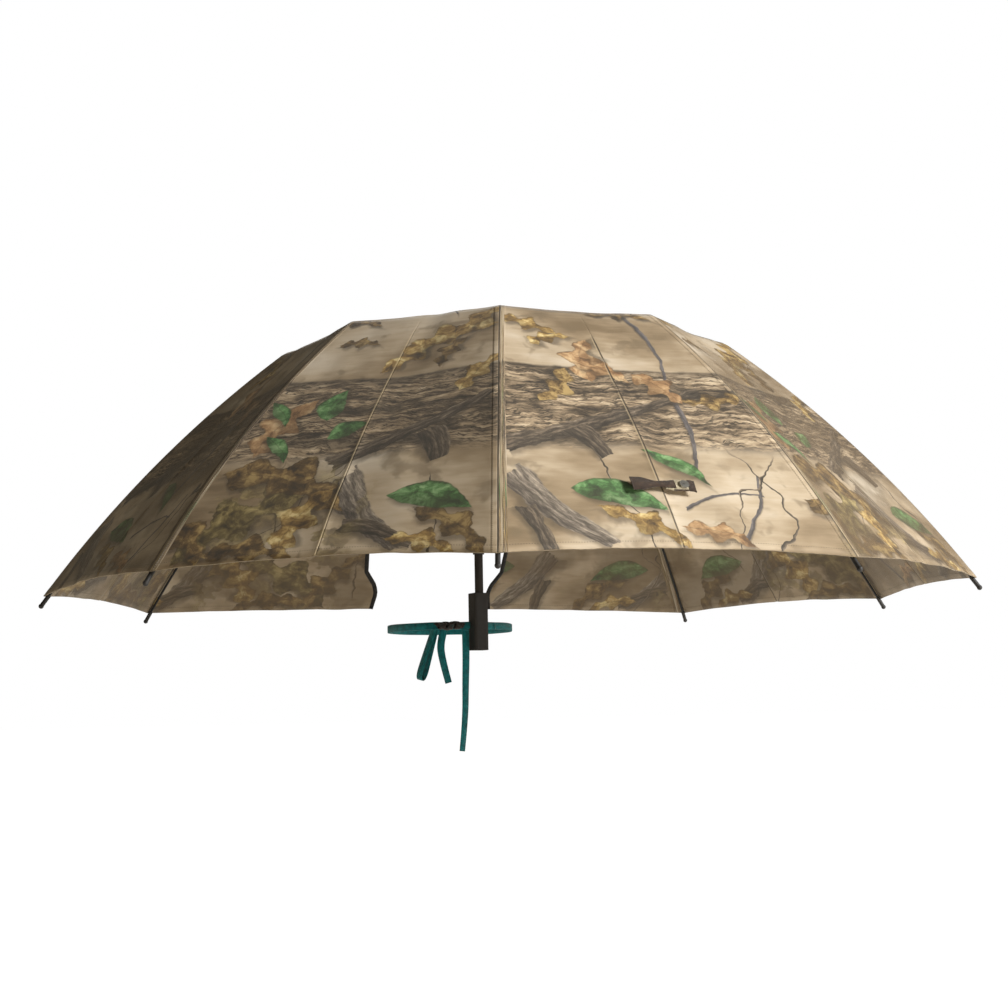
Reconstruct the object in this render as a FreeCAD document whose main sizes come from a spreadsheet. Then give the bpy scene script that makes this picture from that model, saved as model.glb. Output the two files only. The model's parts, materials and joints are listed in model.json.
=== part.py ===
"""Offset-post tree stand umbrella: a folding rain canopy whose post straps to a tree trunk.

Millimetres, +Z up. The origin is on the trunk's axis at the middle of the tree strap's width.
The canopy's own axis stands canopy_offset in front of the trunk, towards -Y. The ribs are set out
at a constant spacing from that front, and the wide bay left between the last two lets the trunk in.
"""

import FreeCAD, Part
import math
import os
from FreeCAD import Placement, Rotation, Vector

SIZES = [
    ("canopy_offset", 350, "trunk axis to canopy axis"),
    ("hem_height", 37, "rib tips above the strap"),
    ("rib_spacing", 38, "degrees between neighbouring ribs"),
    ("trunk_radius", 110, "the strap as it is drawn up"),
    ("strap_width", 13, "woven tape"),
    ("strap_thickness", 1.5, "woven tape"),
    ("shaft_radius", 7, "steel tube"),
    ("tube_wall", 1, "steel tubes"),
    ("shaft_foot", 85, "shaft's lower end above the hem"),
    ("arm_level", 100, "offset arm above the hem"),
    ("post_radius", 7.25, "steel tube"),
    ("post_reach", 127, "trunk axis to post axis"),
    ("post_bearing", 8, "degrees round the trunk from the front"),
    ("grip_width", 26, "moulded block on the post"),
    ("grip_top", 18, "above the hem"),
    ("grip_bottom", -80, "below the hem"),
    ("crown_height", 405, "crown pivots above the hem"),
    ("pivot_radius", 16, "crown and runner pivots off the axis"),
    ("collar_radius", 21, "rims of the crown hub and the runner"),
    ("core_radius", 11, "collars inside their slots"),
    ("elbow_radius", 347, "elbow pivots off the axis"),
    ("elbow_height", 376, "elbow pivots above the hem"),
    ("rib_end_radius", 705, "rib ends off the axis"),
    ("rib_end_height", -4, "rib ends from the hem"),
    ("rib_bend", 17, "degrees the outer rib is bowed through"),
    ("rib_radius", 1.9, "outer rib's steel rod"),
    ("channel_width", 4, "inner arm"),
    ("channel_height", 5, "inner arm"),
    ("sheet_metal", 0.8, "arm and stretcher walls"),
    ("pin_radius", 1, "elbow and stretcher rivets"),
    ("wire_radius", 0.7, "crown ring"),
    ("stretcher_reach", 100, "crown pivot to stretcher pivot"),
    ("stretcher_length", 130, "pivot to pivot"),
    ("running_gap", 0.3, "between pieces that turn past each other"),
    ("fit_gap", 0.05, "round pins and seated tubes"),
    ("cloth_rise", 5, "canopy's inside above the rib's axis"),
    ("cloth_thickness", 1.2, "coated fabric with its seams"),
    ("hem_arch", 12, "hem above the rib tips at mid panel"),
    ("bay_radius", 140, "cut-out round the trunk"),
    ("bay_mouth", 111, "half width of the cut-out at the hem"),
]

doc = FreeCAD.newDocument("TreeUmbrella")
sheet = doc.addObject("Spreadsheet::Sheet", "Sizes")
for row, (alias, number, note) in enumerate(SIZES, start=1):
    sheet.set(f"A{row}", note)
    sheet.set(f"B{row}", str(number))
    sheet.setAlias(f"B{row}", alias)
doc.recompute()

RIBS = 8
X_AXIS, Y_AXIS, Z_AXIS = Vector(1, 0, 0), Vector(0, 1, 0), Vector(0, 0, 1)
END_MARGIN = 2.5  # metal past a pivot's centre
CUT_MARGIN = 1  # how far a cutter runs past the surface it starts from
parts = {}


def size(alias):
    """A driving dimension, read from the sheet."""
    return float(sheet.get(alias))


# ---------------------------------------------------------------- shared geometry

LEVEL = size("hem_height")
AXIS = Vector(0, -size("canopy_offset"), LEVEL)  # on the canopy's axis, level with the hem
BEARINGS = [(i - (RIBS - 1) / 2) * size("rib_spacing") for i in range(RIBS)]
HALF_PANEL = size("rib_spacing") / 2


def radial(bearing):
    """Placement of a radial frame: X out along the bearing, Z up, its origin on the canopy axis."""
    return Placement(AXIS, Rotation(Z_AXIS, bearing - 90))


def slope_between(start, end):
    """Degrees below level of the line from start to end, both (radius, height)."""
    return math.degrees(math.atan2(start[1] - end[1], end[0] - start[0]))


CROWN = (size("pivot_radius"), size("crown_height"))
ELBOW = (size("elbow_radius"), size("elbow_height"))
RIB_END = (size("rib_end_radius"), size("rib_end_height"))
ARM_LENGTH = math.dist(CROWN, ELBOW)
ARM_SLOPE = slope_between(CROWN, ELBOW)
RIB_CHORD = math.dist(ELBOW, RIB_END)
RIB_SLOPE = slope_between(ELBOW, RIB_END)
HALF_BEND = size("rib_bend") / 2
BOW_RADIUS = RIB_CHORD / 2 / math.sin(math.radians(HALF_BEND))
RIB_TOP_SLOPE = RIB_SLOPE - HALF_BEND
RIB_END_SLOPE = RIB_SLOPE + HALF_BEND
BOW_CENTRE = (
    ELBOW[0] - BOW_RADIUS * math.sin(math.radians(RIB_TOP_SLOPE)),
    ELBOW[1] - BOW_RADIUS * math.cos(math.radians(RIB_TOP_SLOPE)),
)


def on_bow(slope, rise=0.0):
    """(radius, height) on the rib's bow where it slopes by that much, or rise outside it."""
    reach = BOW_RADIUS + rise
    angle = math.radians(slope)
    return (BOW_CENTRE[0] + reach * math.sin(angle), BOW_CENTRE[1] + reach * math.cos(angle))


STRETCHER_TOP = (
    CROWN[0] + size("stretcher_reach") * math.cos(math.radians(ARM_SLOPE)),
    CROWN[1] - size("stretcher_reach") * math.sin(math.radians(ARM_SLOPE)),
)
RUNNER_LEVEL = STRETCHER_TOP[1] - math.sqrt(
    size("stretcher_length") ** 2 - (STRETCHER_TOP[0] - size("pivot_radius")) ** 2
)
STRETCHER_FOOT = (size("pivot_radius"), RUNNER_LEVEL)
STRETCHER_SLOPE = slope_between(STRETCHER_TOP, STRETCHER_FOOT)


# ---------------------------------------------------------------- building blocks


def bound(kind, name, placement, **expressions):
    """A Part primitive with its sizes bound to the sheet."""
    item = doc.addObject(kind, name)
    for prop, expression in expressions.items():
        item.setExpression(prop, expression)
    item.Placement = placement
    return item


def at(x, y, z, rotation=None):
    return Placement(Vector(x, y, z), rotation or Rotation())


def joined(name, items):
    """One solid of several."""
    fused = doc.addObject("Part::MultiFuse", name)
    fused.Shapes = items
    return fused


def cut(name, base, tool):
    result = doc.addObject("Part::Cut", name)
    result.Base = base
    result.Tool = tool
    return result


def keep(node, item, placement=None):
    """Name a finished sub-part, and put it in its place."""
    item.Label = node
    if placement:
        item.Placement = placement
    parts[node] = item
    return item


def keep_shape(node, shape):
    """A sub-part whose shape is made by Part's own functions."""
    item = doc.addObject("Part::Feature", node)
    item.Shape = shape
    return keep(node, item)


def cross_pin(name, x, z, radius, length):
    """A cylinder across a radial frame's plane, centred on it."""
    return bound(
        "Part::Cylinder",
        name,
        Placement(Vector(x, 0, z), Rotation(X_AXIS, 90)).multiply(at(0, 0, -length / 2)),
        Radius=radius,
        Height=str(length),
    )


def plane_of(body, role):
    return next(o for o in body.Origin.OriginFeatures if o.Role == role)


def sketch_on(body, name, role, level=0.0):
    sketch = body.newObject("Sketcher::SketchObject", name)
    sketch.AttachmentSupport = [(plane_of(body, role), "")]
    sketch.MapMode = "FlatFace"
    sketch.AttachmentOffset = at(0, 0, level)
    return sketch


def polygon(sketch, corners):
    """A closed outline of straight lines through the corners."""
    for start, end in zip(corners, corners[1:] + corners[:1], strict=True):
        sketch.addGeometry(Part.LineSegment(Vector(*start, 0), Vector(*end, 0)), False)


# ---------------------------------------------------------------- shaft, arm, post and grip


def tube(node, radius, length, placement):
    outer = bound("Part::Cylinder", node + "_outer", Placement(), Radius=radius, Height=length)
    inner = bound(
        "Part::Cylinder",
        node + "_inner",
        Placement(),
        Radius=f"{radius} - Sizes.tube_wall",
        Height=length,
    )
    return keep(node, cut(node, outer, inner), placement)


def post_foot():
    """Where the post's axis meets the hem's level."""
    bearing = math.radians(size("post_bearing"))
    reach = size("post_reach")
    return Vector(reach * math.sin(bearing), -reach * math.cos(bearing), LEVEL)


POST = post_foot()
ARM_RUN = POST - AXIS
OFFSET_BEARING = math.degrees(math.atan2(ARM_RUN.y, ARM_RUN.x))
OFFSET_SPAN = ARM_RUN.Length
SHAFT_OVER = 8  # shaft above the crown pivots
SOCKET_REACH = 26  # a socket's boss along the arm, from its tube's axis
ARM_START = 10  # offset arm's end, from the same axis
SOCKET_WALL = 2.5
SOCKET_HEIGHT = 30
GRIP_WALL = 3  # in front of the post, and between the strap and the trunk
GRIP_FLOOR = 6  # under the post
GRIP_ROUND = 5
SLOT_ROOM = 0.5  # slot past the tape on each side


def elbow_socket(node, tube_radius, top_wall, placement):
    """Moulded socket: a sleeve on an upright tube with a boss for the offset arm along its X."""
    sleeve = bound(
        "Part::Cylinder",
        node + "_sleeve",
        at(0, 0, -SOCKET_HEIGHT / 2),
        Radius=f"{tube_radius} + {SOCKET_WALL}",
        Height=str(SOCKET_HEIGHT),
    )
    along = Rotation(Y_AXIS, 90)
    boss = bound(
        "Part::Cylinder",
        node + "_boss",
        at(0, 0, 0, along),
        Radius=f"Sizes.shaft_radius + {SOCKET_WALL}",
        Height=str(SOCKET_REACH),
    )
    upright = bound(
        "Part::Cylinder",
        node + "_upright_bore",
        at(0, 0, -SOCKET_HEIGHT / 2),
        Radius=f"{tube_radius} + Sizes.fit_gap",
        Height=str(SOCKET_HEIGHT - top_wall),
    )
    bore = bound(
        "Part::Cylinder",
        node + "_arm_bore",
        at(ARM_START, 0, 0, along),
        Radius="Sizes.shaft_radius + Sizes.fit_gap",
        Height=str(SOCKET_REACH),
    )
    solid = joined(node + "_solid", [sleeve, boss])
    bores = joined(node + "_bores", [upright, bore])
    return keep(node, cut(node, solid, bores), placement)


def make_mast():
    foot = size("shaft_foot")
    top = size("crown_height") + SHAFT_OVER
    tube("shaft", "Sizes.shaft_radius", str(top - foot), at(AXIS.x, AXIS.y, LEVEL + foot))
    level = LEVEL + size("arm_level")
    along = Rotation(Z_AXIS, OFFSET_BEARING)
    start = AXIS + along.multVec(Vector(ARM_START, 0, 0))
    tube(
        "offset_arm",
        "Sizes.shaft_radius",
        str(OFFSET_SPAN - 2 * ARM_START),
        Placement(Vector(start.x, start.y, level), along.multiply(Rotation(Y_AXIS, 90))),
    )
    middle = Placement(Vector(AXIS.x, AXIS.y, level), along)
    elbow_socket("shaft_socket", "Sizes.shaft_radius", 0, middle)
    back = Placement(Vector(POST.x, POST.y, level), Rotation(Z_AXIS, OFFSET_BEARING + 180))
    elbow_socket("post_socket", "Sizes.post_radius", SOCKET_WALL, back)
    bottom = size("grip_bottom") + GRIP_FLOOR
    height = size("arm_level") + SOCKET_HEIGHT / 2 - SOCKET_WALL - size("running_gap") - bottom
    tube("post", "Sizes.post_radius", str(height), at(POST.x, POST.y, LEVEL + bottom))


def make_grip():
    """Moulded block round the post, flat where it bears on the trunk, with a slot for the strap."""
    body = doc.addObject("PartDesign::Body", "grip")
    front = -size("post_reach") - size("post_radius") - GRIP_WALL
    half = size("grip_width") / 2
    trunk = size("trunk_radius") + size("running_gap")
    tall = size("grip_top") - size("grip_bottom")
    outline = sketch_on(body, "grip_outline", "XY_Plane", LEVEL + size("grip_bottom"))
    polygon(outline, [(-half, -trunk), (-half, front), (half, front), (half, -trunk)])
    pad = body.newObject("PartDesign::Pad", "grip_pad")
    pad.Profile = outline
    pad.setExpression("Length", "Sizes.grip_top - Sizes.grip_bottom")
    doc.recompute()
    bore = sketch_on(body, "grip_bore", "XY_Plane", LEVEL + size("grip_bottom") + GRIP_FLOOR)
    bore.addGeometry(Part.Circle(Vector(0, -size("post_reach"), 0), Z_AXIS, size("post_radius")), False)
    hole = body.newObject("PartDesign::Pocket", "grip_hole")
    hole.Profile = bore
    hole.Reversed = True
    hole.Length = tall
    doc.recompute()
    slot = sketch_on(body, "grip_slot", "YZ_Plane", -half - CUT_MARGIN)
    near = -trunk - GRIP_WALL
    far = near - size("strap_thickness") - 2 * SLOT_ROOM
    rise = size("strap_width") / 2 + SLOT_ROOM
    polygon(slot, [(near, -rise), (far, -rise), (far, rise), (near, rise)])
    through = body.newObject("PartDesign::Pocket", "grip_slot_cut")
    through.Profile = slot
    through.Reversed = True
    through.Length = size("grip_width") + 2 * CUT_MARGIN
    doc.recompute()
    sides = [
        f"Edge{i}"
        for i, edge in enumerate(through.Shape.Edges, start=1)
        if edge.BoundBox.ZLength > tall - CUT_MARGIN and edge.BoundBox.YMax < front + CUT_MARGIN
    ]
    round_off = body.newObject("PartDesign::Fillet", "grip_round")
    round_off.Base = (through, sides)
    round_off.Radius = GRIP_ROUND
    body.Tip = round_off
    keep("grip", body, at(0, 0, 0, Rotation(Z_AXIS, size("post_bearing"))))
    return near - SLOT_ROOM


# ---------------------------------------------------------------- crown hub and runner


def slotted_collar(name, profile, slot_width, slot_low, slot_high):
    """Turned collar with a radial slot for each rib, in a radial frame."""
    body = doc.addObject("PartDesign::Body", name + "_body")
    turning = sketch_on(body, name + "_profile", "XZ_Plane")
    polygon(turning, profile)
    turned = body.newObject("PartDesign::Revolution", name + "_turned")
    turned.Profile = turning
    turned.ReferenceAxis = (turning, ["V_Axis"])
    turned.Angle = 360
    doc.recompute()
    slot = sketch_on(body, name + "_slot", "XY_Plane", slot_low)
    core, rim, half = size("core_radius"), size("collar_radius") + CUT_MARGIN, slot_width / 2
    polygon(slot, [(core, -half), (rim, -half), (rim, half), (core, half)])
    pocket = body.newObject("PartDesign::Pocket", name + "_pocket")
    pocket.Profile = slot
    pocket.Reversed = True
    pocket.Length = slot_high - slot_low
    doc.recompute()
    ring = body.newObject("PartDesign::PolarPattern", name + "_slots")
    ring.Originals = [pocket]
    ring.Axis = (slot, ["N_Axis"])
    ring.Angle = size("rib_spacing") * (RIBS - 1)
    ring.Occurrences = RIBS
    body.Tip = ring
    doc.recompute()
    assert ring.Shape.Volume < pocket.Shape.Volume < turned.Shape.Volume
    return body


HUB_LOW, HUB_TOP = -5, 7  # from the crown pivots
HUB_SLOT_TOP = 4.5
HUB_BEVEL_IN, HUB_BEVEL_DOWN = 4, 2
CAP_LEVEL = 10.8  # cap's brim above the crown pivots
CAP_BRIM, CAP_THICK = 13, 2
CAP_STEM = 16
CAP_DOME = 12
RUNNER_TOP, RUNNER_LOW, RUNNER_FOOT = 5, -5, -42  # from the stretchers' lower pivots
RUNNER_CLEAR = 0.15  # runner's bore round the shaft
RUNNER_NECK = 1  # sleeve inside the core's radius
FLANGE_OUT, FLANGE_THICK, FLANGE_SLOPE = 3, 4, 3  # thumb flange at the runner's foot


def make_crown():
    rim, bore = size("collar_radius"), size("shaft_radius") + size("fit_gap")
    slot = size("channel_width") + 2 * size("running_gap")
    profile = [
        (bore, HUB_LOW),
        (rim, HUB_LOW),
        (rim, HUB_TOP - HUB_BEVEL_DOWN),
        (rim - HUB_BEVEL_IN, HUB_TOP),
        (bore, HUB_TOP),
    ]
    collar = slotted_collar("crown_hub", profile, slot, HUB_LOW - CUT_MARGIN, HUB_SLOT_TOP)
    groove = bound(
        "Part::Torus",
        "crown_ring_groove",
        Placement(),
        Radius1="Sizes.pivot_radius",
        Radius2="Sizes.wire_radius + Sizes.fit_gap",
    )
    crown = radial(BEARINGS[0]).multiply(at(0, 0, size("crown_height")))
    keep("crown_hub", cut("crown_hub", collar, groove), crown)
    ring = bound(
        "Part::Torus",
        "crown_ring",
        Placement(),
        Radius1="Sizes.pivot_radius",
        Radius2="Sizes.wire_radius",
    )
    keep("crown_ring", ring, crown)
    brim = bound("Part::Cylinder", "cap_brim", Placement(), Radius=str(CAP_BRIM), Height=str(CAP_THICK))
    dome = bound("Part::Sphere", "cap_dome", at(0, 0, -CAP_DOME / 3), Radius=str(CAP_DOME), Angle1="30")
    stem = bound(
        "Part::Cylinder",
        "cap_stem",
        at(0, 0, -CAP_STEM),
        Radius="Sizes.shaft_radius - Sizes.tube_wall - Sizes.fit_gap",
        Height=str(CAP_STEM + CAP_THICK / 2),
    )
    cap = joined("top_cap", [brim, dome, stem])
    keep("top_cap", cap, at(AXIS.x, AXIS.y, LEVEL + size("crown_height") + CAP_LEVEL))


def make_runner():
    rim, bore = size("collar_radius"), size("shaft_radius") + RUNNER_CLEAR
    sleeve = size("core_radius") - RUNNER_NECK
    profile = [
        (bore, RUNNER_FOOT),
        (sleeve + FLANGE_OUT, RUNNER_FOOT),
        (sleeve + FLANGE_OUT, RUNNER_FOOT + FLANGE_THICK),
        (sleeve, RUNNER_FOOT + FLANGE_THICK + FLANGE_SLOPE),
        (sleeve, RUNNER_LOW),
        (rim, RUNNER_LOW),
        (rim, RUNNER_TOP),
        (bore, RUNNER_TOP),
    ]
    wall = size("sheet_metal")
    slot = size("channel_width") + 4 * size("running_gap") + 2 * wall
    body = slotted_collar("runner", profile, slot, RUNNER_LOW - CUT_MARGIN, RUNNER_TOP + CUT_MARGIN)
    keep("runner", body, radial(BEARINGS[0]).multiply(at(0, 0, RUNNER_LEVEL)))


# ---------------------------------------------------------------- ribs

RING_SLACK = 0.35  # the wire is bent to a ring, and the arm's hole is straight
PIN_CUT = 8  # length of the cutters for cross holes
PIN_HEADS = 1  # both ends of a rivet together
EAR_GAP = (size("channel_width") + size("running_gap")) / 2  # a fork's middle to each ear
FORK_REACH = 16  # rib fork's ears from the elbow
FORK_BLOCK, FORK_BLOCK_WIDTH = 9, 5
FORK_OVERLAP = 6  # rib's wire inside its fork
ROD_START = math.degrees((FORK_REACH - FORK_OVERLAP) / BOW_RADIUS)
TIP_RADIUS, TIP_LENGTH, TIP_NOSE = 3.2, 20, 3.8
TIP_GRIP = 6  # rod inside the tip
WEB_START, WEB_END = 14, 4  # stretcher's web, in from its two pivots


def inner_arm(node, bearing):
    """Folded-steel channel, open below, from the crown ring to the elbow."""
    length = ARM_LENGTH + 2 * END_MARGIN
    low = "-Sizes.channel_height / 2"
    bar = bound(
        "Part::Box",
        node + "_bar",
        Placement(),
        Length=str(length),
        Width="Sizes.channel_width",
        Height="Sizes.channel_height",
    )
    bar.setExpression("Placement.Base.x", str(-END_MARGIN))
    bar.setExpression("Placement.Base.y", "-Sizes.channel_width / 2")
    bar.setExpression("Placement.Base.z", low)
    hollow = bound(
        "Part::Box",
        node + "_hollow",
        Placement(),
        Length=str(ARM_LENGTH - 4 * END_MARGIN),
        Width="Sizes.channel_width - 2 * Sizes.sheet_metal",
        Height="Sizes.channel_height - Sizes.sheet_metal",
    )
    hollow.setExpression("Placement.Base.x", str(2 * END_MARGIN))
    hollow.setExpression("Placement.Base.y", "-Sizes.channel_width / 2 + Sizes.sheet_metal")
    hollow.setExpression("Placement.Base.z", low)
    ring_hole = cross_pin(node + "_ring_hole", 0, 0, f"Sizes.wire_radius + {RING_SLACK}", PIN_CUT)
    pin = "Sizes.pin_radius + Sizes.fit_gap"
    strut_hole = cross_pin(node + "_strut_hole", size("stretcher_reach"), 0, pin, PIN_CUT)
    elbow_hole = cross_pin(node + "_elbow_hole", ARM_LENGTH, 0, pin, PIN_CUT)
    holes = joined(node + "_holes", [hollow, ring_hole, strut_hole, elbow_hole])
    place = radial(bearing).multiply(at(CROWN[0], 0, CROWN[1], Rotation(Y_AXIS, ARM_SLOPE)))
    keep(node, cut(node, bar, holes), place)


def fork_ears(name, reach):
    """Two ears either side of an arm, a pin through both, and their centre at the origin."""
    wall = size("sheet_metal")
    ears = []
    for side in (-1, 1):
        low = EAR_GAP if side > 0 else -EAR_GAP - wall
        ear = bound(
            "Part::Box",
            f"{name}_ear{side}",
            at(-END_MARGIN, low, -END_MARGIN),
            Length=str(reach),
            Width="Sizes.sheet_metal",
            Height=str(2 * END_MARGIN),
        )
        ears.append(ear)
    ears.append(cross_pin(name + "_pin", 0, 0, "Sizes.pin_radius", 2 * (EAR_GAP + wall) + PIN_HEADS))
    return ears


def outer_rib(node, bearing):
    """Bowed steel rod with a riveted fork at its elbow end."""
    rod = bound(
        "Part::Torus",
        node + "_rod",
        Placement(),
        Radius1=str(BOW_RADIUS),
        Radius2="Sizes.rib_radius",
        Angle3=str(size("rib_bend") - ROD_START),
    )
    turn = Rotation(X_AXIS, 90).multiply(Rotation(Z_AXIS, 90 - RIB_END_SLOPE))
    rod.Placement = Placement(Vector(BOW_CENTRE[0], 0, BOW_CENTRE[1]), turn)
    fork = fork_ears(node, FORK_REACH)
    fork.append(
        bound(
            "Part::Box",
            node + "_block",
            at(FORK_REACH - FORK_BLOCK, -FORK_BLOCK_WIDTH / 2, -END_MARGIN),
            Length=str(FORK_BLOCK),
            Width=str(FORK_BLOCK_WIDTH),
            Height=str(2 * END_MARGIN),
        )
    )
    ears = joined(node + "_fork", fork)
    ears.Placement = at(ELBOW[0], 0, ELBOW[1], Rotation(Y_AXIS, RIB_TOP_SLOPE))
    keep(node, joined(node, [rod, ears]), radial(bearing))


def rib_tip(node, bearing):
    """Moulded cap pushed on the rod's end, with a ball nose that holds the hem."""
    end = on_bow(RIB_END_SLOPE)
    barrel = bound(
        "Part::Cylinder", node + "_barrel", Placement(), Radius=str(TIP_RADIUS), Height=str(TIP_LENGTH)
    )
    nose = bound("Part::Sphere", node + "_nose", at(0, 0, TIP_LENGTH), Radius=str(TIP_NOSE))
    solid = joined(node + "_solid", [barrel, nose])
    bore = bound(
        "Part::Cylinder",
        node + "_bore",
        at(0, 0, -CUT_MARGIN),
        Radius="Sizes.rib_radius + Sizes.fit_gap",
        Height=str(TIP_GRIP + CUT_MARGIN),
    )
    place = at(end[0], 0, end[1], Rotation(Y_AXIS, 90 + RIB_END_SLOPE)).multiply(at(0, 0, -TIP_GRIP))
    keep(node, cut(node, solid, bore), radial(bearing).multiply(place))


def stretcher(node, bearing):
    """Folded channel from the inner arm down to the runner, straddling the arm at its top."""
    wall = size("sheet_metal")
    pieces = fork_ears(node, size("stretcher_length") + 2 * END_MARGIN)
    pieces.append(
        bound(
            "Part::Box",
            node + "_web",
            at(WEB_START, -EAR_GAP - wall / 2, -END_MARGIN),
            Length=f"Sizes.stretcher_length - {WEB_START + WEB_END}",
            Width=str(2 * EAR_GAP + wall),
            Height="Sizes.sheet_metal",
        )
    )
    place = at(STRETCHER_TOP[0], 0, STRETCHER_TOP[1], Rotation(Y_AXIS, STRETCHER_SLOPE))
    keep(node, joined(node, pieces), radial(bearing).multiply(place))


# ---------------------------------------------------------------- canopy

EDGE_GAP = 0.5  # between cloth panels of neighbouring bodies
CLOTH = (size("cloth_rise"), size("cloth_rise") + size("cloth_thickness"))
CLOTH_START = RIB_TOP_SLOPE + math.degrees(EDGE_GAP / BOW_RADIUS)
BAY_HALF = 180 - BEARINGS[-1]
BAY_FLAP = [(35, 127), (22, 109), (14, 105)]  # the cut-out's edge: before the hem, and half width
BAY_LOW, BAY_HIGH, BAY_PAST = -100, 500, 40  # the cutter, past the cloth
CROWN_HOLE = 9  # cloth's inner edge round the cap's stem
CROWN_RISE = 8.5  # cloth's inside above the crown pivots
CLOSURE_LENGTH, CLOSURE_WIDTH, CLOSURE_THICK = 86, 26, 1.6
CLOSURE_SLOPE = 52  # the rib's slope where the closure lies
CLOSURE_LIFT = 10  # above the rib's own line there, as the hem arches
SNAP_RADIUS, SNAP_HEIGHT, SNAP_INSET = 6, 2.5, 16
ARCH_HALFWAY = 0.25  # share of the hem's arch reached half way down the cloth


def across(half_panel, side):
    """How far in a flat panel's cloth lies, side degrees from its rib, as a share of the radius."""
    return math.cos(math.radians(half_panel)) / math.cos(math.radians(half_panel - abs(side)))


def cloth_edge(bearing, side, half_panel, arch):
    """The cloth cut by the upright plane side degrees from a rib: two concentric bows, closed."""
    frame = radial(bearing + side)
    share = across(half_panel, side)
    slopes = [CLOTH_START, (CLOTH_START + RIB_END_SLOPE) / 2, RIB_END_SLOPE]
    rises = [0, arch * ARCH_HALFWAY, arch]
    faces = []
    for lift in CLOTH:
        spots = [on_bow(slope, lift) for slope in slopes]
        faces.append(
            [
                frame.multVec(Vector(radius * share, 0, height + rise))
                for (radius, height), rise in zip(spots, rises, strict=True)
            ]
        )
    inner, outer = faces
    return Part.Wire(
        [
            Part.Arc(*inner).toShape(),
            Part.LineSegment(inner[2], outer[2]).toShape(),
            Part.Arc(*reversed(outer)).toShape(),
            Part.LineSegment(outer[0], inner[0]).toShape(),
        ]
    )


def half_panel_cloth(bearing, side):
    """Cloth from a rib to the middle of the panel beside it, side degrees away."""
    half = abs(side)
    edge = math.copysign(half - math.degrees(EDGE_GAP / ELBOW[0]), side)
    at_rib = cloth_edge(bearing, 0, half, 0)
    at_middle = cloth_edge(bearing, edge, half, size("hem_arch"))
    return Part.makeLoft([at_rib, at_middle], True, True)


def bay_cutter():
    """Upright prism that clears the trunk: a half round, then sides that draw in to two flaps."""
    low, high = LEVEL + BAY_LOW, LEVEL + BAY_HIGH
    round_part = Part.makeCylinder(size("bay_radius"), high - low, Vector(0, 0, low))
    hem_out = on_bow(RIB_END_SLOPE, CLOTH[1])[0] * math.cos(math.radians(BAY_HALF))
    hem_out -= size("canopy_offset")
    edge = [(size("bay_radius"), 0)]
    edge += [(half, hem_out - before) for before, half in BAY_FLAP]
    edge += [(size("bay_mouth"), hem_out), (size("bay_mouth"), hem_out + BAY_PAST)]
    outline = [Vector(x, y, low) for x, y in edge]
    outline += [Vector(-x, y, low) for x, y in reversed(edge)]
    face = Part.Face(Part.makePolygon(outline + outline[:1]))
    return round_part.fuse(face.extrude(Vector(0, 0, high - low)))


def make_canopy():
    cutter = bay_cutter()
    for i, bearing in enumerate(BEARINGS):
        before = -BAY_HALF if i == 0 else -HALF_PANEL
        after = BAY_HALF if i == RIBS - 1 else HALF_PANEL
        cloth = half_panel_cloth(bearing, before).fuse(half_panel_cloth(bearing, after))
        if i in (0, RIBS - 1):
            cloth = cloth.cut(cutter)
        keep_shape(f"canopy_skirt_{i + 1}", cloth.removeSplitter())
    make_canopy_top(cutter)


def make_canopy_top(cutter):
    """Nearly level cloth inside the elbows: a flat-sided cone with a hole for the cap's stem."""
    slopes = {}
    for lift in CLOTH:
        radius, height = on_bow(RIB_TOP_SLOPE, lift)
        slopes[lift] = (radius - EDGE_GAP, height)
    sides = []
    for lift in CLOTH:
        radius, height = slopes[lift]
        crown_height = CROWN[1] + CROWN_RISE + lift - CLOTH[0]
        rings = []
        for reach, level in ((radius, height), (CROWN_HOLE, crown_height)):
            corners = [radial(b).multVec(Vector(reach, 0, level)) for b in BEARINGS]
            rings.append(corners)
        sides.append(rings)
    inner, outer = sides
    faces = []
    for i in range(RIBS):
        j = (i + 1) % RIBS
        for low, high in (inner, outer):
            faces.append([low[i], low[j], high[j], high[i]])
        for a, b in zip(inner, outer, strict=True):
            faces.append([a[i], a[j], b[j], b[i]])
    shell = Part.makeShell([Part.Face(Part.makePolygon(f + f[:1])) for f in faces])
    keep_shape("canopy_top", Part.makeSolid(shell).cut(cutter))


def make_closure():
    """Wrap strap lying across the middle of the front panel, with its snap."""
    radius, height = on_bow(CLOSURE_SLOPE, CLOTH[1] + EDGE_GAP)
    share = across(HALF_PANEL, HALF_PANEL)
    pitch = math.degrees(math.atan(math.tan(math.radians(CLOSURE_SLOPE)) / share))
    middle = (BEARINGS[3] + BEARINGS[4]) / 2
    lift = height + CLOSURE_LIFT
    place = radial(middle).multiply(at(radius * share, 0, lift, Rotation(Y_AXIS, pitch)))
    strap = bound(
        "Part::Box",
        "closure_strap",
        Placement(),
        Length=str(CLOSURE_WIDTH),
        Width=str(CLOSURE_LENGTH),
        Height=str(CLOSURE_THICK),
    )
    keep("closure_strap", strap, place.multiply(at(-CLOSURE_WIDTH / 2, -CLOSURE_LENGTH / 2, 0)))
    snap = bound(
        "Part::Cylinder", "snap_button", Placement(), Radius=str(SNAP_RADIUS), Height=str(SNAP_HEIGHT)
    )
    keep("snap_button", snap, place.multiply(at(0, CLOSURE_LENGTH / 2 - SNAP_INSET, CLOSURE_THICK)))


# ---------------------------------------------------------------- strap round the trunk

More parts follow.
